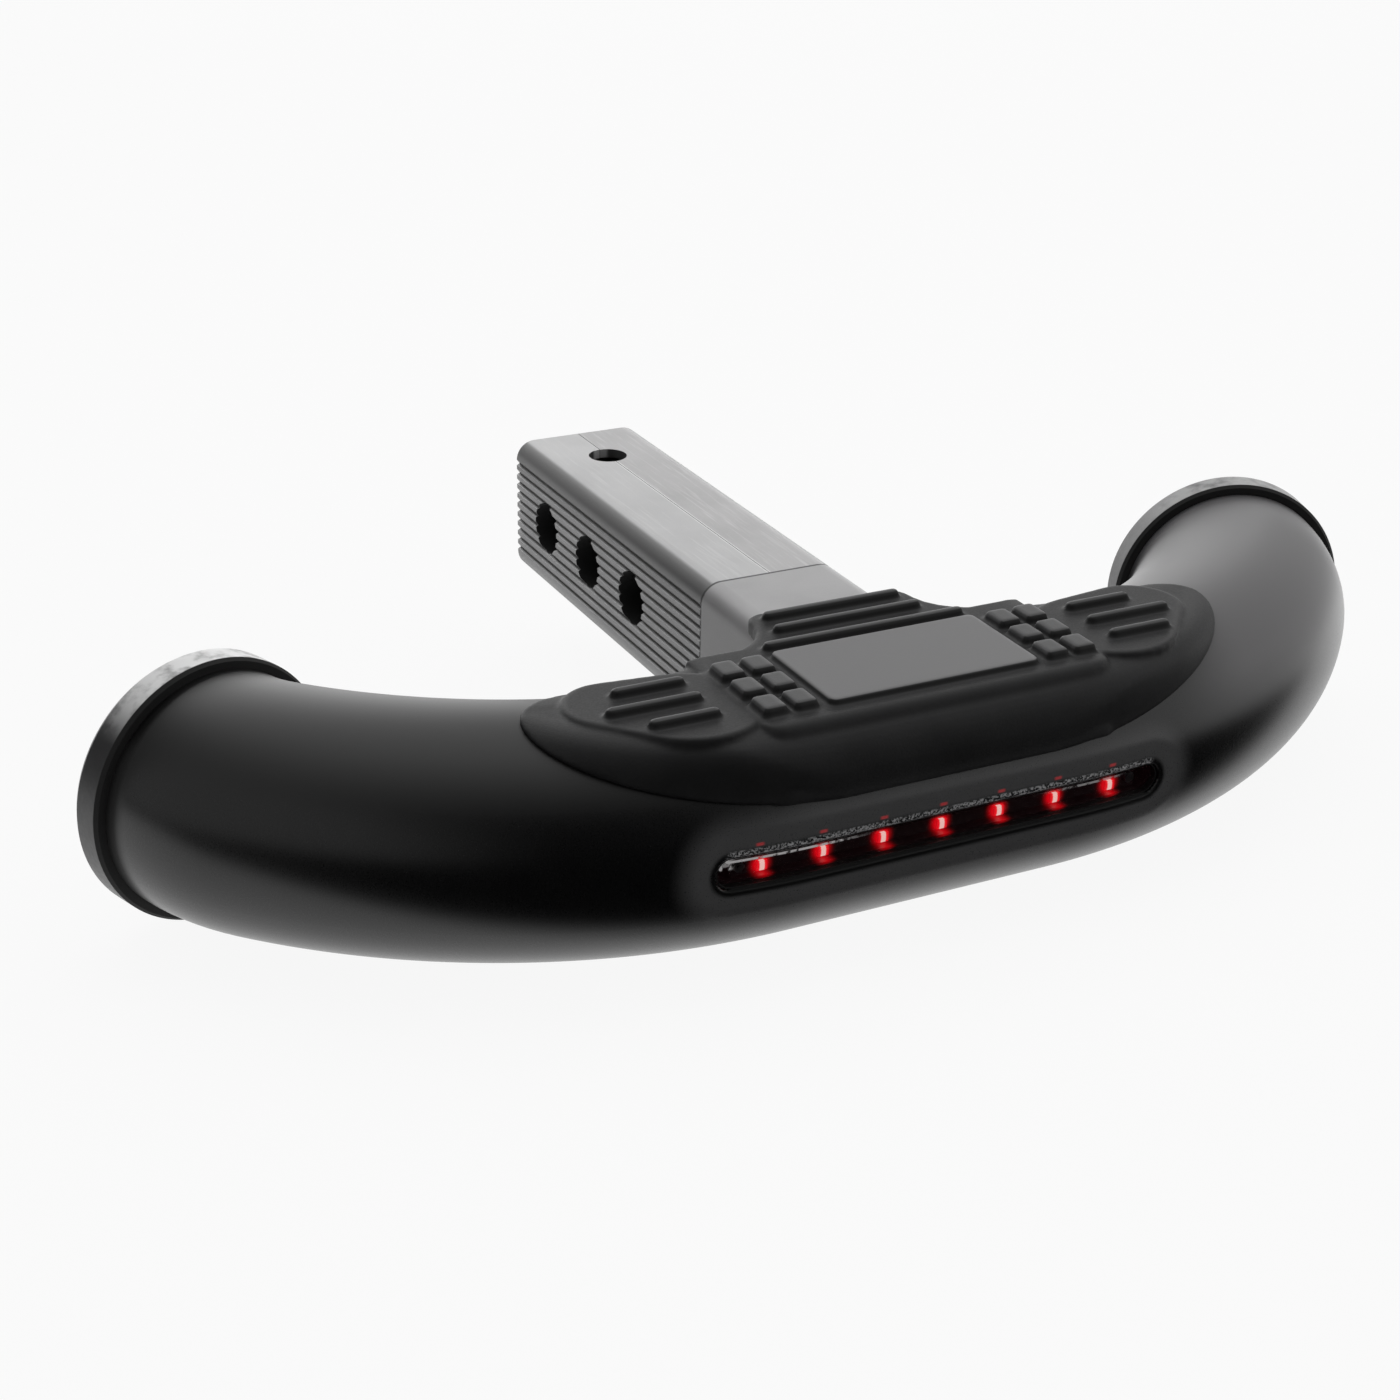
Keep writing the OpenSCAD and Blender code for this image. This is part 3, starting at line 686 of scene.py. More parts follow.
def in_tube_frame(tree):
    place = add(tree, "ShaderNodeGroup", -1800, 900, node_tree=TUBE_FRAME)
    tree.links.new(coordinates(tree), place.inputs["Vector"])
    return place.outputs


def in_model_frame(tree):
    """X, Y and Z from the middle pin hole, in mm."""
    place = add(tree, "ShaderNodeVectorMath", -2000, 1300, operation="SCALE")
    place.inputs["Scale"].default_value = 1 / MM
    tree.links.new(coordinates(tree), place.inputs[0])
    return split(tree, place.outputs[0])


def noise_at(tree, scale, detail=2, stretch=(1, 1, 1)):
    drawn = add(tree, "ShaderNodeVectorMath", -2000, 1100, operation="MULTIPLY")
    drawn.inputs[1].default_value = stretch
    noise = add(tree, "ShaderNodeTexNoise", -1800, 1100)
    noise.inputs["Scale"].default_value = scale
    noise.inputs["Detail"].default_value = detail
    tree.links.new(coordinates(tree), drawn.inputs[0])
    tree.links.new(drawn.outputs[0], noise.inputs["Vector"])
    return noise.outputs["Fac"]


# %% [markdown]
# These make the ramps and products, and lay a tint over what a finish already
# has. A tint takes over the link that feeds the shader, so tints can be
# stacked, and the last one lies on top.

# %% Ramps and tints
def ramp(tree, source, zero_at, one_at, top=1.0):
    """Smooth mask: 0 at one value of the source and 1 at another."""
    step = add(tree, "ShaderNodeMapRange", -1000, 900, interpolation_type="SMOOTHSTEP")
    step.inputs["From Min"].default_value = zero_at
    step.inputs["From Max"].default_value = one_at
    step.inputs["To Max"].default_value = top
    tree.links.new(source, step.inputs["Value"])
    return step.outputs["Result"]


def math_node(tree, operation, first, second=0):
    node = add(tree, "ShaderNodeMath", -800, 900, operation=operation)
    for i, value in enumerate((first, second)):
        if isinstance(value, (int, float)):
            node.inputs[i].default_value = value
        else:
            tree.links.new(value, node.inputs[i])
    return node.outputs[0]


def times(tree, *masks):
    out = masks[0]
    for mask in masks[1:]:
        out = math_node(tree, "MULTIPLY", out, mask)
    return out


def length(tree, first, second):
    both = add(tree, "ShaderNodeCombineXYZ", -700, 1300)
    reach = add(tree, "ShaderNodeVectorMath", -500, 1300, operation="LENGTH")
    tree.links.new(first, both.inputs["X"])
    tree.links.new(second, both.inputs["Y"])
    tree.links.new(both.outputs[0], reach.inputs[0])
    return reach.outputs["Value"]


def shader_of(mat):
    return next(n for n in mat.node_tree.nodes if n.type == "BSDF_PRINCIPLED")


def tint(mat, mask, colour, rough=None):
    tree = mat.node_tree
    shader = shader_of(mat)
    values = [("Base Color", "RGBA", (*colour, 1))]
    if rough is not None:
        values.append(("Roughness", "FLOAT", rough))
    for name, kind, value in values:
        blend = add(tree, "ShaderNodeMix", 450, 700, data_type=kind)
        blend.inputs["B"].default_value = value
        tree.links.new(shader.inputs[name].links[0].from_socket, blend.inputs["A"])
        tree.links.new(mask, blend.inputs["Factor"])
        tree.links.new(blend.outputs["Result"], shader.inputs[name])


# %% [markdown]
# ## The black coat
#
# A satin powder coat on steel. Next to each cap it has painted shade, dull and
# deep black, where no light gets in. Round the lamp the pressed recess has a
# painted grey sheen, its lower lip painted black shade, and its upper lip a
# grainy painted highlight. The right arm has a painted grey sheen, and the left
# one is calmer on top.

# %% Painted light on the tube
SLOT_TOP = SLOT_Z + SLOT_R
SLOT_LOW = SLOT_Z - SLOT_R


def in_front(tree, at):
    """Mask that keeps painted light round the slot off the tube's back."""
    return ramp(tree, at["Y"], -18, -26)


def paint_shade_near_cap(mat, start, full, dark, rough):
    """Painted shade: blend to a dull dark tone, by the distance along the tube from its cut end.
    """
    tree = mat.node_tree
    at = in_model_frame(tree)
    turn = BEND + END_BEND
    tip_x, tip_y, _ = centre_line(STRAIGHT + ARC_1 + ARC_2)
    tip = tip_x * math.cos(turn) + (tip_y + ORIGIN.y) * math.sin(turn)
    side = math_node(tree, "ABSOLUTE", at["X"])
    along = math_node(tree, "ADD", math_node(tree, "MULTIPLY", side, math.cos(turn)),
                      math_node(tree, "MULTIPLY", at["Y"], math.sin(turn)))
    tint(mat, ramp(tree, along, tip + start, tip + full), (dark, dark, dark), rough)


def grainy_lip_highlight(mat):
    tree = mat.node_tree
    at = in_tube_frame(tree)
    side = math_node(tree, "ABSOLUTE", at["X"])
    # Painted highlight: a grainy pale strip along the recess's upper lip.
    strip = times(tree, ramp(tree, at["Z"], SLOT_TOP - 1.0, SLOT_TOP - 0.4),
                  ramp(tree, at["Z"], SLOT_TOP + 2.3, SLOT_TOP + 1.9),
                  ramp(tree, side, 74, 71), ramp(tree, at["Radius"], 35.0, 35.4),
                  ramp(tree, noise_at(tree, 1700, 4), 0.42, 0.62), in_front(tree, at))
    tint(mat, strip, (0.34, 0.34, 0.345), 0.5)


def sheen_and_shade_round_slot(mat):
    tree = mat.node_tree
    at = in_tube_frame(tree)
    side = math_node(tree, "ABSOLUTE", at["X"])
    past = math_node(tree, "SUBTRACT", side, SLOT_HALF - SLOT_R)
    gap = length(tree, math_node(tree, "MAXIMUM", past), at["Z"])
    # Painted sheen: a grey halo all round the pressed recess.
    halo = times(tree, ramp(tree, gap, SLOT_R + 15, SLOT_R + 5),
                 ramp(tree, gap, SLOT_R + 1.2, SLOT_R + 3.0), in_front(tree, at))
    tint(mat, halo, (0.06, 0.06, 0.061))
    # Painted shade: the recess's lower lip is black.
    lower_lip_shade = times(tree, ramp(tree, at["Z"], SLOT_LOW + 0.6, SLOT_LOW + 0.1),
                  ramp(tree, at["Radius"], 37.2, 36.6), ramp(tree, side, 80, 78))
    tint(mat, lower_lip_shade, (0.0008, 0.0008, 0.0008), 0.95)


def calm_left_and_sheen_right(mat):
    tree = mat.node_tree
    at = in_tube_frame(tree)
    calm = times(tree, ramp(tree, at["X"], -60, -95), ramp(tree, at["Z"], 20, 31))
    tint(mat, calm, (0.003, 0.003, 0.003), 0.46)
    # Painted sheen: the right arm's upper front is greyer.
    right_arm_sheen = times(tree, ramp(tree, at["X"], 80, 125), ramp(tree, at["Z"], 6, 24))
    tint(mat, right_arm_sheen, (0.1, 0.098, 0.101), 0.42)


# %% [markdown]
# Each diode leaves a faint red glint on the coat above it. A real reflection
# would need a mirror-smooth coat, so the glints are small spots of weak red
# light at the diodes' pitch.

# %% Red glints
DIODE_PITCH = 20.0


def red_glints(mat):
    tree = mat.node_tree
    at = in_tube_frame(tree)
    side = math_node(tree, "ABSOLUTE", at["X"])
    wrap = math_node(tree, "PINGPONG", math_node(tree, "ADD", at["X"], 2.9), DIODE_PITCH / 2)
    lift = math_node(tree, "ABSOLUTE", math_node(tree, "SUBTRACT", at["Z"], SLOT_TOP + 3.1))
    spot = times(tree, ramp(tree, wrap, 1.7, 0.6), ramp(tree, lift, 0.7, 0.25),
                 ramp(tree, side, 68, 66), in_front(tree, at), 0.35)
    red = add(tree, "ShaderNodeMix", 300, 1200, data_type="RGBA")
    red.inputs["A"].default_value = (0, 0, 0, 1)
    red.inputs["B"].default_value = (0.5, 0.0, 0.006, 1)
    tree.links.new(spot, red.inputs["Factor"])
    tree.links.new(red.outputs["Result"], shader_of(mat).inputs["Emission Color"])
    shader_of(mat).inputs["Emission Strength"].default_value = 1.0


# %% [markdown]
# ## Rubber and caps
#
# The pad is matt black rubber. The tops of blocks and bars have a painted
# highlight, and the bare panel most of all. The sides that face the front have
# painted shade, and so does the line where the pad meets the tube, and its thin
# front edge has a painted highlight. The caps are harder plastic, with a painted
# highlight on top and scuffed low down.

# %% Painted light on rubber and caps, and scuffs
def painted_light_on_rubber(mat):
    tree = mat.node_tree
    at = in_tube_frame(tree)
    facing = split(tree, coordinates(tree, "Normal"))
    # Painted highlight on the tops of blocks and bars, and most of all on the bare panel.
    tops_highlight = ramp(tree, at["Z"], DECK_Z + 1.2, DECK_Z + 1.9)
    tint(mat, tops_highlight, (0.05, 0.05, 0.051), 0.5)
    side = math_node(tree, "ABSOLUTE", at["X"])
    plate_highlight = times(tree, tops_highlight, ramp(tree, side, 35.9, 35.2), ramp(tree, at["Y"], 14.8, 14.2))
    tint(mat, plate_highlight, (0.155, 0.154, 0.156), 0.5)
    # Painted shade on the sides that face the front.
    sides = times(tree, ramp(tree, facing["Z"], 0.93, 0.7), ramp(tree, facing["Y"], 0.05, -0.3),
                  ramp(tree, at["Z"], 40.3, 40.9), 0.85)
    tint(mat, sides, (0.0015, 0.0015, 0.0015), 0.7)
    # Painted shade along the line where the pad meets the tube.
    contact_shade = ramp(tree, at["Radius"], TUBE_R + 1.1, TUBE_R + 0.6, 0.9)
    tint(mat, contact_shade, (0.0008, 0.0008, 0.0008), 0.9)
    # Painted highlight along the pad's thin front edge.
    edge = times(tree, ramp(tree, at["Z"], 17.6, 17.1), ramp(tree, at["X"], -34, -20))
    tint(mat, edge, (0.16, 0.16, 0.16), 0.5)


def scuffed_cap_and_top_highlight(mat, top_highlight_tone, scuff_tone):
    tree = mat.node_tree
    at = in_tube_frame(tree)
    facing = split(tree, coordinates(tree, "Normal"))
    streak = noise_at(tree, 160, 6)
    # Painted highlight on what faces up; the scuffs below are wear.
    top = times(tree, ramp(tree, facing["Z"], 0.6, 0.95), ramp(tree, streak, 0.2, 0.6))
    tint(mat, top, (top_highlight_tone, top_highlight_tone, top_highlight_tone), 0.45)
    scuff = times(tree, ramp(tree, at["Z"], -12, -26), ramp(tree, at["Radius"], 40.8, 41.2),
                  ramp(tree, streak, 0.52, 0.66))
    tint(mat, scuff, (scuff_tone, scuff_tone, scuff_tone), 0.6)


# %% [markdown]
# ## Sleeve and collar
#
# Mid grey moulded plastic. Its flat top has long fine scratches and a pale
# painted highlight along the parting line of its two halves. The rounded edges,
# the grooves and the flanks have painted shade, the joint with the collar is a
# dark line, and the pin holes are painted black shade, because the bar's bores
# lie deep inside.

# %% Wear and painted light on sleeve and collar
PIN_PITCH = 36.5
HOLE_EDGE = 9.4
SLEEVE_END = -89.4


def sleeve_top(mat):
    tree = mat.node_tree
    at = in_model_frame(tree)
    up = ramp(tree, split(tree, coordinates(tree, "Normal"))["Z"], 0.9, 0.97)
    scratch = noise_at(tree, 1, 5, (900, 50, 900))
    tint(mat, times(tree, up, ramp(tree, scratch, 0.5, 0.75), 0.4), (0.6, 0.6, 0.6))
    across = math_node(tree, "ABSOLUTE", at["X"])
    # Painted highlight along the parting line.
    seam = times(tree, up, ramp(tree, across, 0.85, 0.5), ramp(tree, at["Y"], 30, 26))
    tint(mat, seam, (0.62, 0.62, 0.62))


def sleeve_shade_and_joint(mat):
    tree = mat.node_tree
    at = in_model_frame(tree)
    across = math_node(tree, "ABSOLUTE", at["X"])
    sideways = math_node(tree, "ABSOLUTE", split(tree, coordinates(tree, "Normal"))["X"])
    # Painted shade on the rounded edges, by their facing.
    edge = times(tree, ramp(tree, sideways, 0.25, 0.6), ramp(tree, at["Z"], 12, 17), 0.72)
    tint(mat, edge, (0.06, 0.06, 0.06))
    # Painted shade in the grooves.
    groove_shade = times(tree, ramp(tree, sideways, 0.3, 0.5), ramp(tree, across, 24.8, 24.2), 0.9)
    tint(mat, groove_shade, (0.04, 0.04, 0.04))
    # Painted shade on the flanks.
    tint(mat, ramp(tree, sideways, 0.6, 0.8, 0.58), (0.08, 0.08, 0.08))
    joint = ramp(tree, at["Y"], SLEEVE_END + 0.3, SLEEVE_END, 0.85)
    tint(mat, joint, (0.015, 0.015, 0.015))
    # Painted shade: the pin holes are black.
    for pin in (-PIN_PITCH, 0.0, PIN_PITCH):
        reach = length(tree, math_node(tree, "SUBTRACT", at["Y"], pin), at["Z"])
        tint(mat, ramp(tree, reach, HOLE_EDGE + 0.2, HOLE_EDGE), (0.002, 0.002, 0.002), 0.9)


def shaded_collar(mat):
    tree = mat.node_tree
    at = in_model_frame(tree)
    sideways = math_node(tree, "ABSOLUTE", split(tree, coordinates(tree, "Normal"))["X"])
    tint(mat, ramp(tree, sideways, 0.5, 0.9, 0.4), (0.05, 0.05, 0.05))
    tint(mat, ramp(tree, at["Y"], -90.6, -90.3, 0.85), (0.015, 0.015, 0.015))


# %% [markdown]
# ## Finishes
#
# Each finish gets its two tones and its roughness, and then its wear and painted
# light. The tones are low because bright paper lights the step from all round.
# The two caps are lit and shaded copies of one plastic. The sleeve's halves
# differ by a shade, as two mouldings do. The order matters: a later tint lies
# over an earlier one.

# %% Finishes of coat, rubber and caps
coat_black = finish_material("black_coat", (0.003, 0.003, 0.0032), (0.004, 0.004, 0.0042), 0.3,
                             grain_scale=2500, bump=0.03)
rubber = finish_material("tread_rubber", (0.008, 0.008, 0.0085), (0.012, 0.012, 0.0125), 0.58,
                         grain_scale=1600, bump=0.12, specular=0.34)
# The two cap finishes are lit and shaded copies of one plastic: the right cap is painted lighter,
# the left one darker.
cap_skin_lit = finish_material("cap_skin_lit", (0.05, 0.05, 0.052), (0.085, 0.084, 0.086), 0.4,
                           grain_scale=700, bump=0.1)
cap_shaded = finish_material("cap_skin_shaded", (0.02, 0.02, 0.021), (0.035, 0.034, 0.036), 0.4,
                           grain_scale=700, bump=0.1)
# Painted shade on the coat next to each cap.
paint_shade_near_cap(coat_black, -9.0, 0.5, 0.001, 0.85)
for wear in (grainy_lip_highlight, sheen_and_shade_round_slot, calm_left_and_sheen_right, red_glints):
    wear(coat_black)
painted_light_on_rubber(rubber)
# Each cap gets a painted highlight on top, scuffs low down, and painted shade next to the tube.
for skin, top_highlight_tone, scuff_tone in ((cap_shaded, 0.75, 0.24), (cap_skin_lit, 0.34, 0.12)):
    scuffed_cap_and_top_highlight(skin, top_highlight_tone, scuff_tone)
    paint_shade_near_cap(skin, 1.6, 1.2, 0.003, 0.8)
print("finishes so far:", len(bpy.data.materials))

# %% [markdown]
# The greys are the sleeve and its collar. What lies inside, such as the bar,
# the plug, the seals, the chips and the clips, gets plain finishes of steel,
# plastic, rubber and zinc, because little of it is ever seen.

# %% Finishes of sleeve and small parts
grey_skin = finish_material("sleeve_skin", (0.405, 0.405, 0.409), (0.47, 0.469, 0.473), 0.36,
                            grain_scale=1200, bump=0.06)
grey_skin_warm = finish_material("sleeve_skin_warm", (0.325, 0.319, 0.323),
                                 (0.385, 0.379, 0.383), 0.36, grain_scale=1200, bump=0.06)
collar_skin = finish_material("collar_skin", (0.285, 0.281, 0.286), (0.33, 0.326, 0.331), 0.38,
                              grain_scale=1200, bump=0.06)
for skin in (grey_skin, grey_skin_warm):
    sleeve_top(skin)
    sleeve_shade_and_joint(skin)
shaded_collar(collar_skin)
dark_steel = finish_material("dark_steel", (0.006, 0.006, 0.006), (0.01, 0.01, 0.01), 0.5)
dark_plastic = finish_material("dark_plastic", (0.01, 0.01, 0.01), (0.015, 0.015, 0.015), 0.5)
seal = finish_material("seal_rubber", (0.006, 0.006, 0.006), (0.01, 0.01, 0.01), 0.6)
zinc = finish_material("zinc", (0.5, 0.5, 0.52), (0.6, 0.6, 0.62), 0.3, metallic=1.0)
terminal_skin = finish_material("terminal_skin", (0.5, 0.48, 0.42), (0.6, 0.57, 0.5), 0.45)
chip_skin = finish_material("chip_skin", (0.03, 0.03, 0.03), (0.05, 0.05, 0.05), 0.4)
print("finishes so far:", len(bpy.data.materials))

# %% [markdown]
# Painting is one table: a finish and the pieces that wear it.

# %% Paint
def paint(piece, mat):
    piece.data.materials.clear()
    piece.data.materials.append(mat)


def paint_node(name, mat):
    for slot in nodes[name].material_slots:
        slot.material = mat


WORN_BY = [
    (cap_shaded, ["end_cap_left"]), (cap_skin_lit, ["end_cap_right"]),
    (grey_skin, ["sleeve_left"]), (grey_skin_warm, ["sleeve_right"]),
    (collar_skin, ["shank_collar"]), (dark_steel, ["shank_bar"]),
    (dark_plastic, ["shank_plug", "pad_pegs"]), (seal, ["light_gasket", "lead_grommet"]),
    (chip_skin, ["light_resistors", "light_diode"]), (zinc, ["board_screws", "light_clips"]),
    (terminal_skin, ["light_terminal"]),
]
paint(tube, coat_black)
paint(pad, rubber)
for finish, names in WORN_BY:
    for name in names:
        paint_node(name, finish)
print("painted nodes:", sum(len(names) for _, names in WORN_BY))

# %% [markdown]
# ## The lamp bar
#
# Seven red diodes sit on a black board behind a clear front. The camera sees a
# nearly white core, a saturated red body and a red halo that falls to black in
# between. The halo is light of the board's own, by the distance from the
# nearest diode, because a few real points of light would leave noise in the
# picture. A painted highlight runs along the front's upper edge, with painted
# glossy blobs at its left tip.

# %% Lamp helpers
DIODE_Z = SLOT_Z - 1.2


def bare_material(name):
    mat = bpy.data.materials.new(name)
    mat.use_nodes = True
    mat.node_tree.nodes.clear()
    out = add(mat.node_tree, "ShaderNodeOutputMaterial", 1200)
    shader = add(mat.node_tree, "ShaderNodeBsdfPrincipled", 900)
    mat.node_tree.links.new(shader.outputs["BSDF"], out.inputs["Surface"])
    return mat, mat.node_tree, shader


def blend_colour(tree, mask, first, second):
    mix = add(tree, "ShaderNodeMix", 500, 0, data_type="RGBA")
    for name, value in (("A", first), ("B", second)):
        if isinstance(value, tuple):
            mix.inputs[name].default_value = (*value, 1)
        else:
            tree.links.new(value, mix.inputs[name])
    tree.links.new(mask, mix.inputs["Factor"])
    return mix.outputs["Result"]


# %% [markdown]
# The board and its tray glow alike, so the light seems to fill the bar. The
# diodes are small blocks, and only the distance along the bar decides how hot
# a part of one looks.

# %% Board and diodes
def glow_material():
    mat, tree, shader = bare_material("board_glow")
    at = in_tube_frame(tree)
    along = math_node(tree, "PINGPONG", at["X"], DIODE_PITCH / 2)
    far = length(tree, along, math_node(tree, "SUBTRACT", at["Z"], DIODE_Z))
    halo = math_node(tree, "POWER", ramp(tree, far, 5.6, 1.2), 2.6)
    shader.inputs["Base Color"].default_value = (0.008, 0.003, 0.004, 1)
    shader.inputs["Roughness"].default_value = 0.45
    shader.inputs["Emission Strength"].default_value = 1.0
    colour = blend_colour(tree, halo, (0.0015, 0.0003, 0.0005), (0.85, 0.002, 0.008))
    tree.links.new(colour, shader.inputs["Emission Color"])
    return mat


def hot_material():
    mat, tree, shader = bare_material("diode_hot")
    along = math_node(tree, "PINGPONG", in_tube_frame(tree)["X"], DIODE_PITCH / 2)
    core = ramp(tree, along, 1.0, 0.6)
    fade = ramp(tree, along, 2.1, 1.0)
    body = blend_colour(tree, fade, (0.65, 0.001, 0.006), (0.98, 0.01, 0.02))
    colour = blend_colour(tree, core, body, (1.0, 0.6, 0.55))
    shader.inputs["Base Color"].default_value = (0.1, 0.01, 0.01, 1)
    shader.inputs["Emission Strength"].default_value = 1.0
    tree.links.new(colour, shader.inputs["Emission Color"])
    return mat


# %% [markdown]
# The clear front is mostly see-through, by its alpha. Glass with true
# refraction would need many more samples behind so small an opening. Where it
# carries its painted highlight or is turned away from the camera it is solid.

# %% Clear front
def lens_material():
    mat, tree, shader = bare_material("lens_clear")
    at = in_tube_frame(tree)
    grain = noise_at(tree, 500)
    height = times(tree, ramp(tree, at["Z"], SLOT_TOP - 2.2, SLOT_TOP - 1.9),
                   ramp(tree, at["Z"], SLOT_TOP - 1.2, SLOT_TOP - 1.4))
    left = times(tree, ramp(tree, at["X"], -75, -73), ramp(tree, at["X"], -22, -40))
    right = times(tree, ramp(tree, at["X"], 28, 45), ramp(tree, at["X"], 64, 58), 0.7)
    # Painted highlight along the front's upper edge, and painted glossy blobs at its left tip.
    line = times(tree, height, math_node(tree, "ADD", left, right), ramp(tree, grain, 0.25, 0.5))
    tip = times(tree, ramp(tree, at["X"], -69.5, -72), ramp(tree, at["Z"], 0.6, 1.6),
                ramp(tree, grain, 0.42, 0.55))
    lens_highlight = math_node(tree, "MAXIMUM", line, tip)
    colour = blend_colour(tree, lens_highlight, (0.01, 0.005, 0.005), (0.75, 0.73, 0.73))
    tree.links.new(colour, shader.inputs["Base Color"])
    edge = ramp(tree, at["Z"], SLOT_TOP - 1.6, SLOT_TOP - 1.2, 0.8)
    solid = math_node(tree, "MAXIMUM", math_node(tree, "MAXIMUM", lens_highlight, edge), 0.14)
    tree.links.new(solid, shader.inputs["Alpha"])
    shader.inputs["Roughness"].default_value = 0.12
    return mat


board_glow = glow_material()
for name in ("light_board", "light_housing"):
    paint_node(name, board_glow)
paint_node("light_leds", hot_material())
paint_node("light_lens", lens_material())
print("finishes in all:", len(bpy.data.materials))

# %% [markdown]
# ## Floor and room
#
# A plain white sweep stands in for the studio: a floor that bends up into a
# wall. It is a swept strip with a wide bend, so no line shows behind the step.

# %% White sweep
FLOOR_Z = cad_box[0][2]
FLOOR_GAP = 0.0004


def backdrop():
    size, back, top, bend = 4.5, 2.2, 2.4, 0.7
    profile = [(-size, FLOOR_Z - FLOOR_GAP), (back - bend, FLOOR_Z - FLOOR_GAP)]
    for i in range(1, 13):
        a = math.radians(90 * i / 12)
        profile.append((back - bend + bend * math.sin(a), FLOOR_Z + bend * (1 - math.cos(a))))
    profile.append((back, top))
    verts, faces = [], []
    for x in (-size, size):
        verts += [(x, y, z) for y, z in profile]
    n = len(profile)
    for k in range(n - 1):
        faces.append((k, k + 1, n + k + 1, n + k))
    mesh = bpy.data.meshes.new("sweep")
    mesh.from_pydata(verts, [], faces)
    mesh.polygons.foreach_set("use_smooth", [True] * len(mesh.polygons))
    piece = bpy.data.objects.new("sweep", mesh)
    bpy.context.scene.collection.objects.link(piece)
    return piece


sweep = backdrop()
print("sweep:", len(sweep.data.polygons), "strips")

# %% [markdown]
# The camera sees the sweep as even white, with the step's soft shadow on it.
# Reflections see it white in an oval below the step, which puts a bright line
# along the tube's underside, black in front, and bright again towards the back
# right. The black tube then shows long soft gradients instead of one flat
# grey. Real cards round the step could do the same, but would take more light.

# %% Paper
OVAL = (0.6, 0.192)
OVAL_FADE = 0.14
FLOOR_GLOW = 1.05
SIDE_GLOW = 1.12
CAMERA_WHITE = 0.985
CAMERA_SHARE = 0.93


def reflected_glow(tree):
    at = split(tree, coordinates(tree))
    front = math_node(tree, "MINIMUM", at["Y"])
    reach = length(tree, math_node(tree, "DIVIDE", at["X"], OVAL[0]),
                   math_node(tree, "DIVIDE", front, OVAL[1]))
    near = ramp(tree, reach, 1.0 + OVAL_FADE, 1.0, FLOOR_GLOW)
    slant = math_node(tree, "ADD", math_node(tree, "MULTIPLY", at["X"], 0.8),
                      math_node(tree, "MULTIPLY", at["Y"], 0.6))
    return math_node(tree, "ADD", near, ramp(tree, slant, 0.05, 0.5, SIDE_GLOW))


def sweep_material():
    mat = bpy.data.materials.new("white_sweep")
    mat.use_nodes = True
    tree = mat.node_tree
    tree.nodes.clear()
    link = tree.links.new
    out = add(tree, "ShaderNodeOutputMaterial", 900)
    paper = add(tree, "ShaderNodeBsdfDiffuse", 400, 200)
    paper.inputs["Color"].default_value = (0.8, 0.8, 0.8, 1)
    path = add(tree, "ShaderNodeLightPath", -500, 400)
    seen = add(tree, "ShaderNodeMix", -50, 0, data_type="FLOAT")
    seen.inputs["B"].default_value = CAMERA_WHITE
    lit = add(tree, "ShaderNodeEmission", 400, -100)
    mix = add(tree, "ShaderNodeMixShader", 650)
    share = math_node(tree, "MULTIPLY", path.outputs["Is Camera Ray"], CAMERA_SHARE)
    link(path.outputs["Is Camera Ray"], seen.inputs["Factor"])
    link(reflected_glow(tree), seen.inputs["A"])
    link(seen.outputs["Result"], lit.inputs["Strength"])
    link(math_node(tree, "MAXIMUM", share, path.outputs["Is Glossy Ray"]), mix.inputs[0])
    link(paper.outputs[0], mix.inputs[1])
    link(lit.outputs[0], mix.inputs[2])
    link(mix.outputs[0], out.inputs["Surface"])
    return mat


paint(sweep, sweep_material())
print("floor at", round(FLOOR_Z / MM, 1), "mm")

# %% [markdown]
# ## Light
#
# The room is bright above, behind and at both sides, and black straight in
# front. It gives the tube's shoulders their sheen without a hard edge.

# %% Room
ROOM_LEAN = (0.15, 0.7, 0.8)
ROOM_BACK = 0.45
ROOM_RIGHT = 0.85
ROOM_LEFT = 0.5


def room_light():
    world = bpy.data.worlds.new("room")
    world.use_nodes = True
    tree = world.node_tree
    towards = coordinates(tree, "Generated")
    at = split(tree, towards)
    lean = add(tree, "ShaderNodeVectorMath", -1300, operation="DOT_PRODUCT")
    lean.inputs[1].default_value = ROOM_LEAN
    tree.links.new(towards, lean.inputs[0])
    back = ramp(tree, lean.outputs["Value"], -0.25, 0.55, ROOM_BACK)
    right = ramp(tree, at["X"], 0.22, 0.5, ROOM_RIGHT)
    left = ramp(tree, at["X"], -0.35, -0.8, ROOM_LEFT)
    sides = math_node(tree, "MAXIMUM", right, left)
    ground = tree.nodes["Background"]
    tree.links.new(math_node(tree, "MAXIMUM", back, sides), ground.inputs["Strength"])
    ground.inputs["Color"].default_value = (1, 1, 1, 1)
    return world


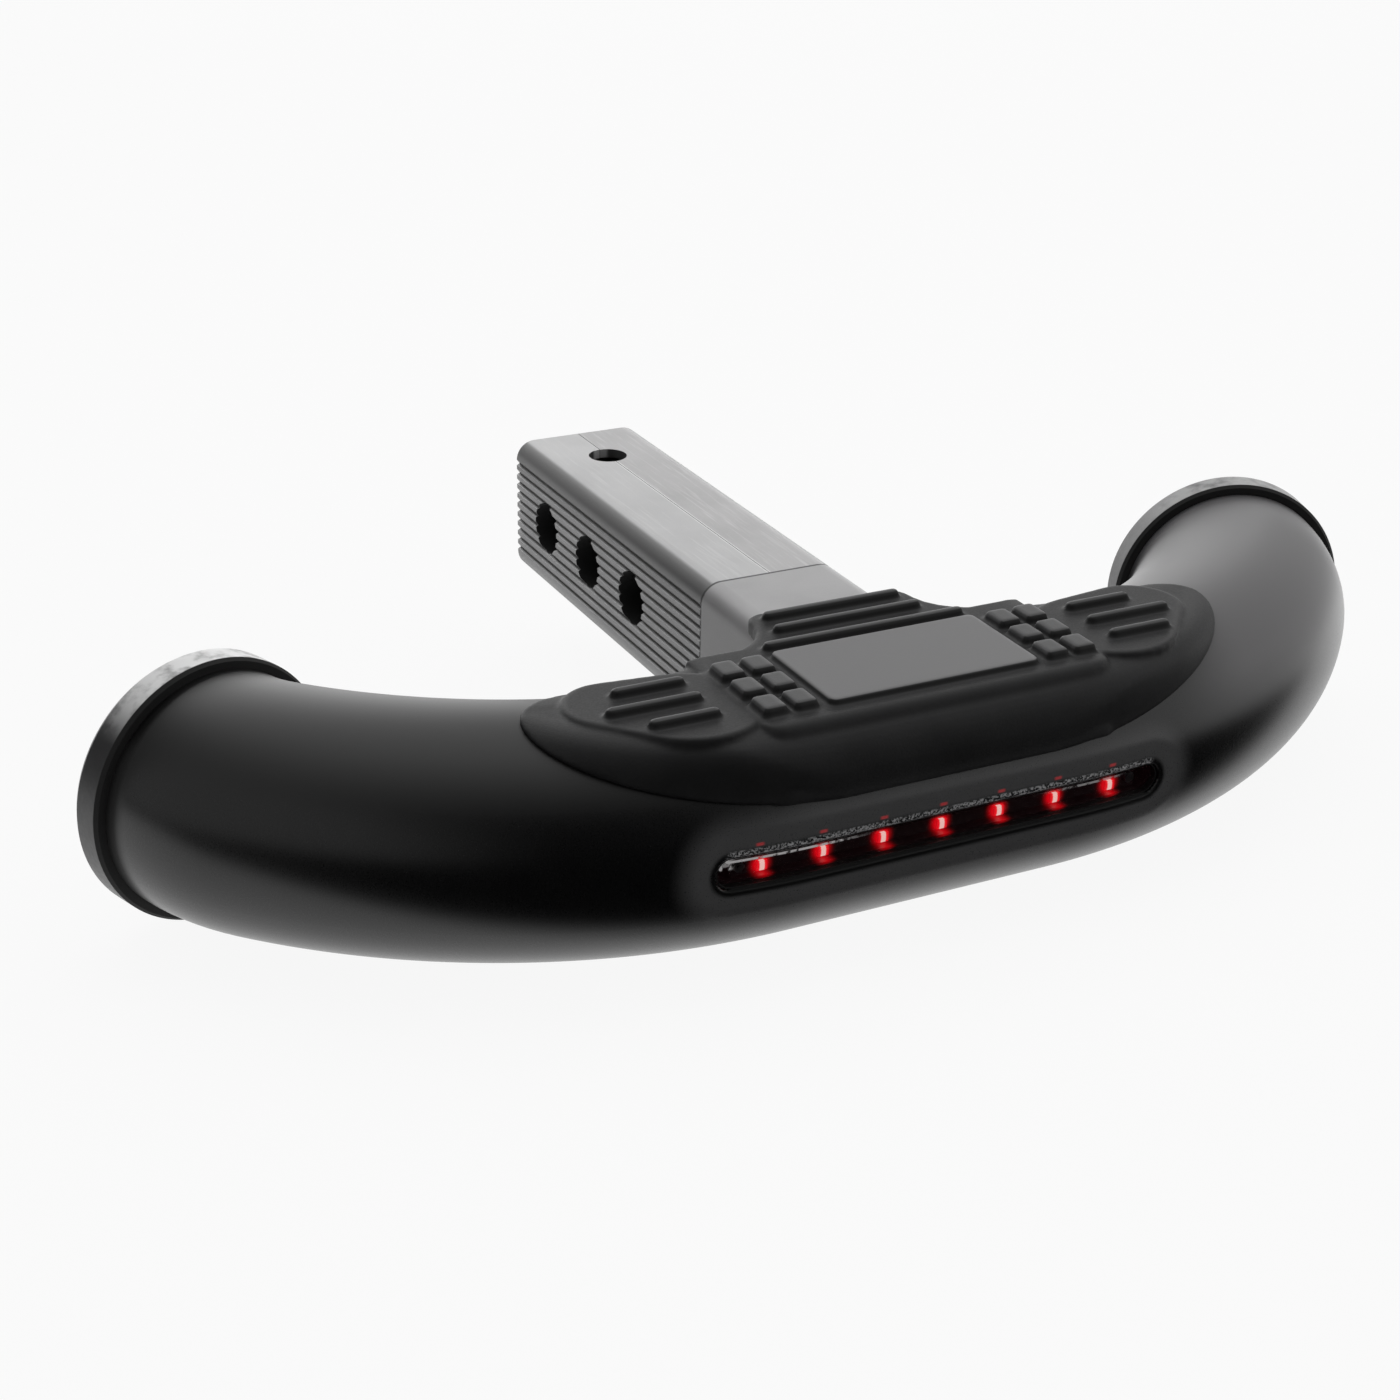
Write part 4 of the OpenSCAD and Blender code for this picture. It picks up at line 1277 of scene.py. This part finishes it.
bpy.context.scene.world = room_light()
print("room light: back", ROOM_BACK, "right", ROOM_RIGHT, "left", ROOM_LEFT)

# %% [markdown]
# Two wide soft lights do the rest: one overhead for the sleeve's top and the
# tread, and one behind for a thin rim on the tube. Each is given as how bright
# its face looks, so its size can change without changing its tone.

# %% Soft lights
def soft_light(name, place, target, width, height, brightness):
    data = bpy.data.lights.new(name, "AREA")
    data.shape = "RECTANGLE"
    data.size = width
    data.size_y = height
    data.energy = math.pi * brightness * width * height
    lamp = bpy.data.objects.new(name, data)
    lamp.location = place
    lamp.rotation_euler = (Vector(target) - Vector(place)).to_track_quat("-Z", "Y").to_euler()
    bpy.context.scene.collection.objects.link(lamp)
    return lamp


STEP_MIDDLE = (0, -0.1, 0)
for lamp in (soft_light("top_light", (0.1, 0.2, 1.4), STEP_MIDDLE, 1.8, 1.4, 0.93),
             soft_light("back_light", (0.8, 1.6, 0.55), STEP_MIDDLE, 1.9, 0.9, 0.8)):
    print(lamp.name, "power", round(lamp.data.energy, 1), "W")

# %% [markdown]
# ## Camera
#
# The camera's place, turn and lens were fitted to the outlines of tube, sleeve
# and pad in the picture. It looks down and to the right, with a slight roll.

# %% Camera
TURN = math.radians(27.09)
DIP = math.radians(25.0)
ROLL = math.radians(1.11)
shot = bpy.data.cameras.new("photo_camera")
shot.lens = 61.27
shot.sensor_width = 36
camera = bpy.data.objects.new("photo_camera", shot)
camera.location = (-0.34694, -0.72001, 0.31424)
ahead = Vector((math.sin(TURN) * math.cos(DIP), math.cos(TURN) * math.cos(DIP), -math.sin(DIP)))
level = ahead.cross(Vector((0, 0, 1))).normalized()
upright = level.cross(ahead)
across = level * math.cos(ROLL) + upright * math.sin(ROLL)
upward = upright * math.cos(ROLL) - level * math.sin(ROLL)
camera.rotation_mode = "QUATERNION"
camera.rotation_quaternion = Matrix([across, upward, -ahead]).transposed().to_quaternion()
bpy.context.scene.collection.objects.link(camera)
bpy.context.scene.camera = camera
bpy.context.scene.view_settings.view_transform = "Standard"
print("camera:", shot.lens, "mm lens at", [round(v / MM) for v in camera.location], "mm")
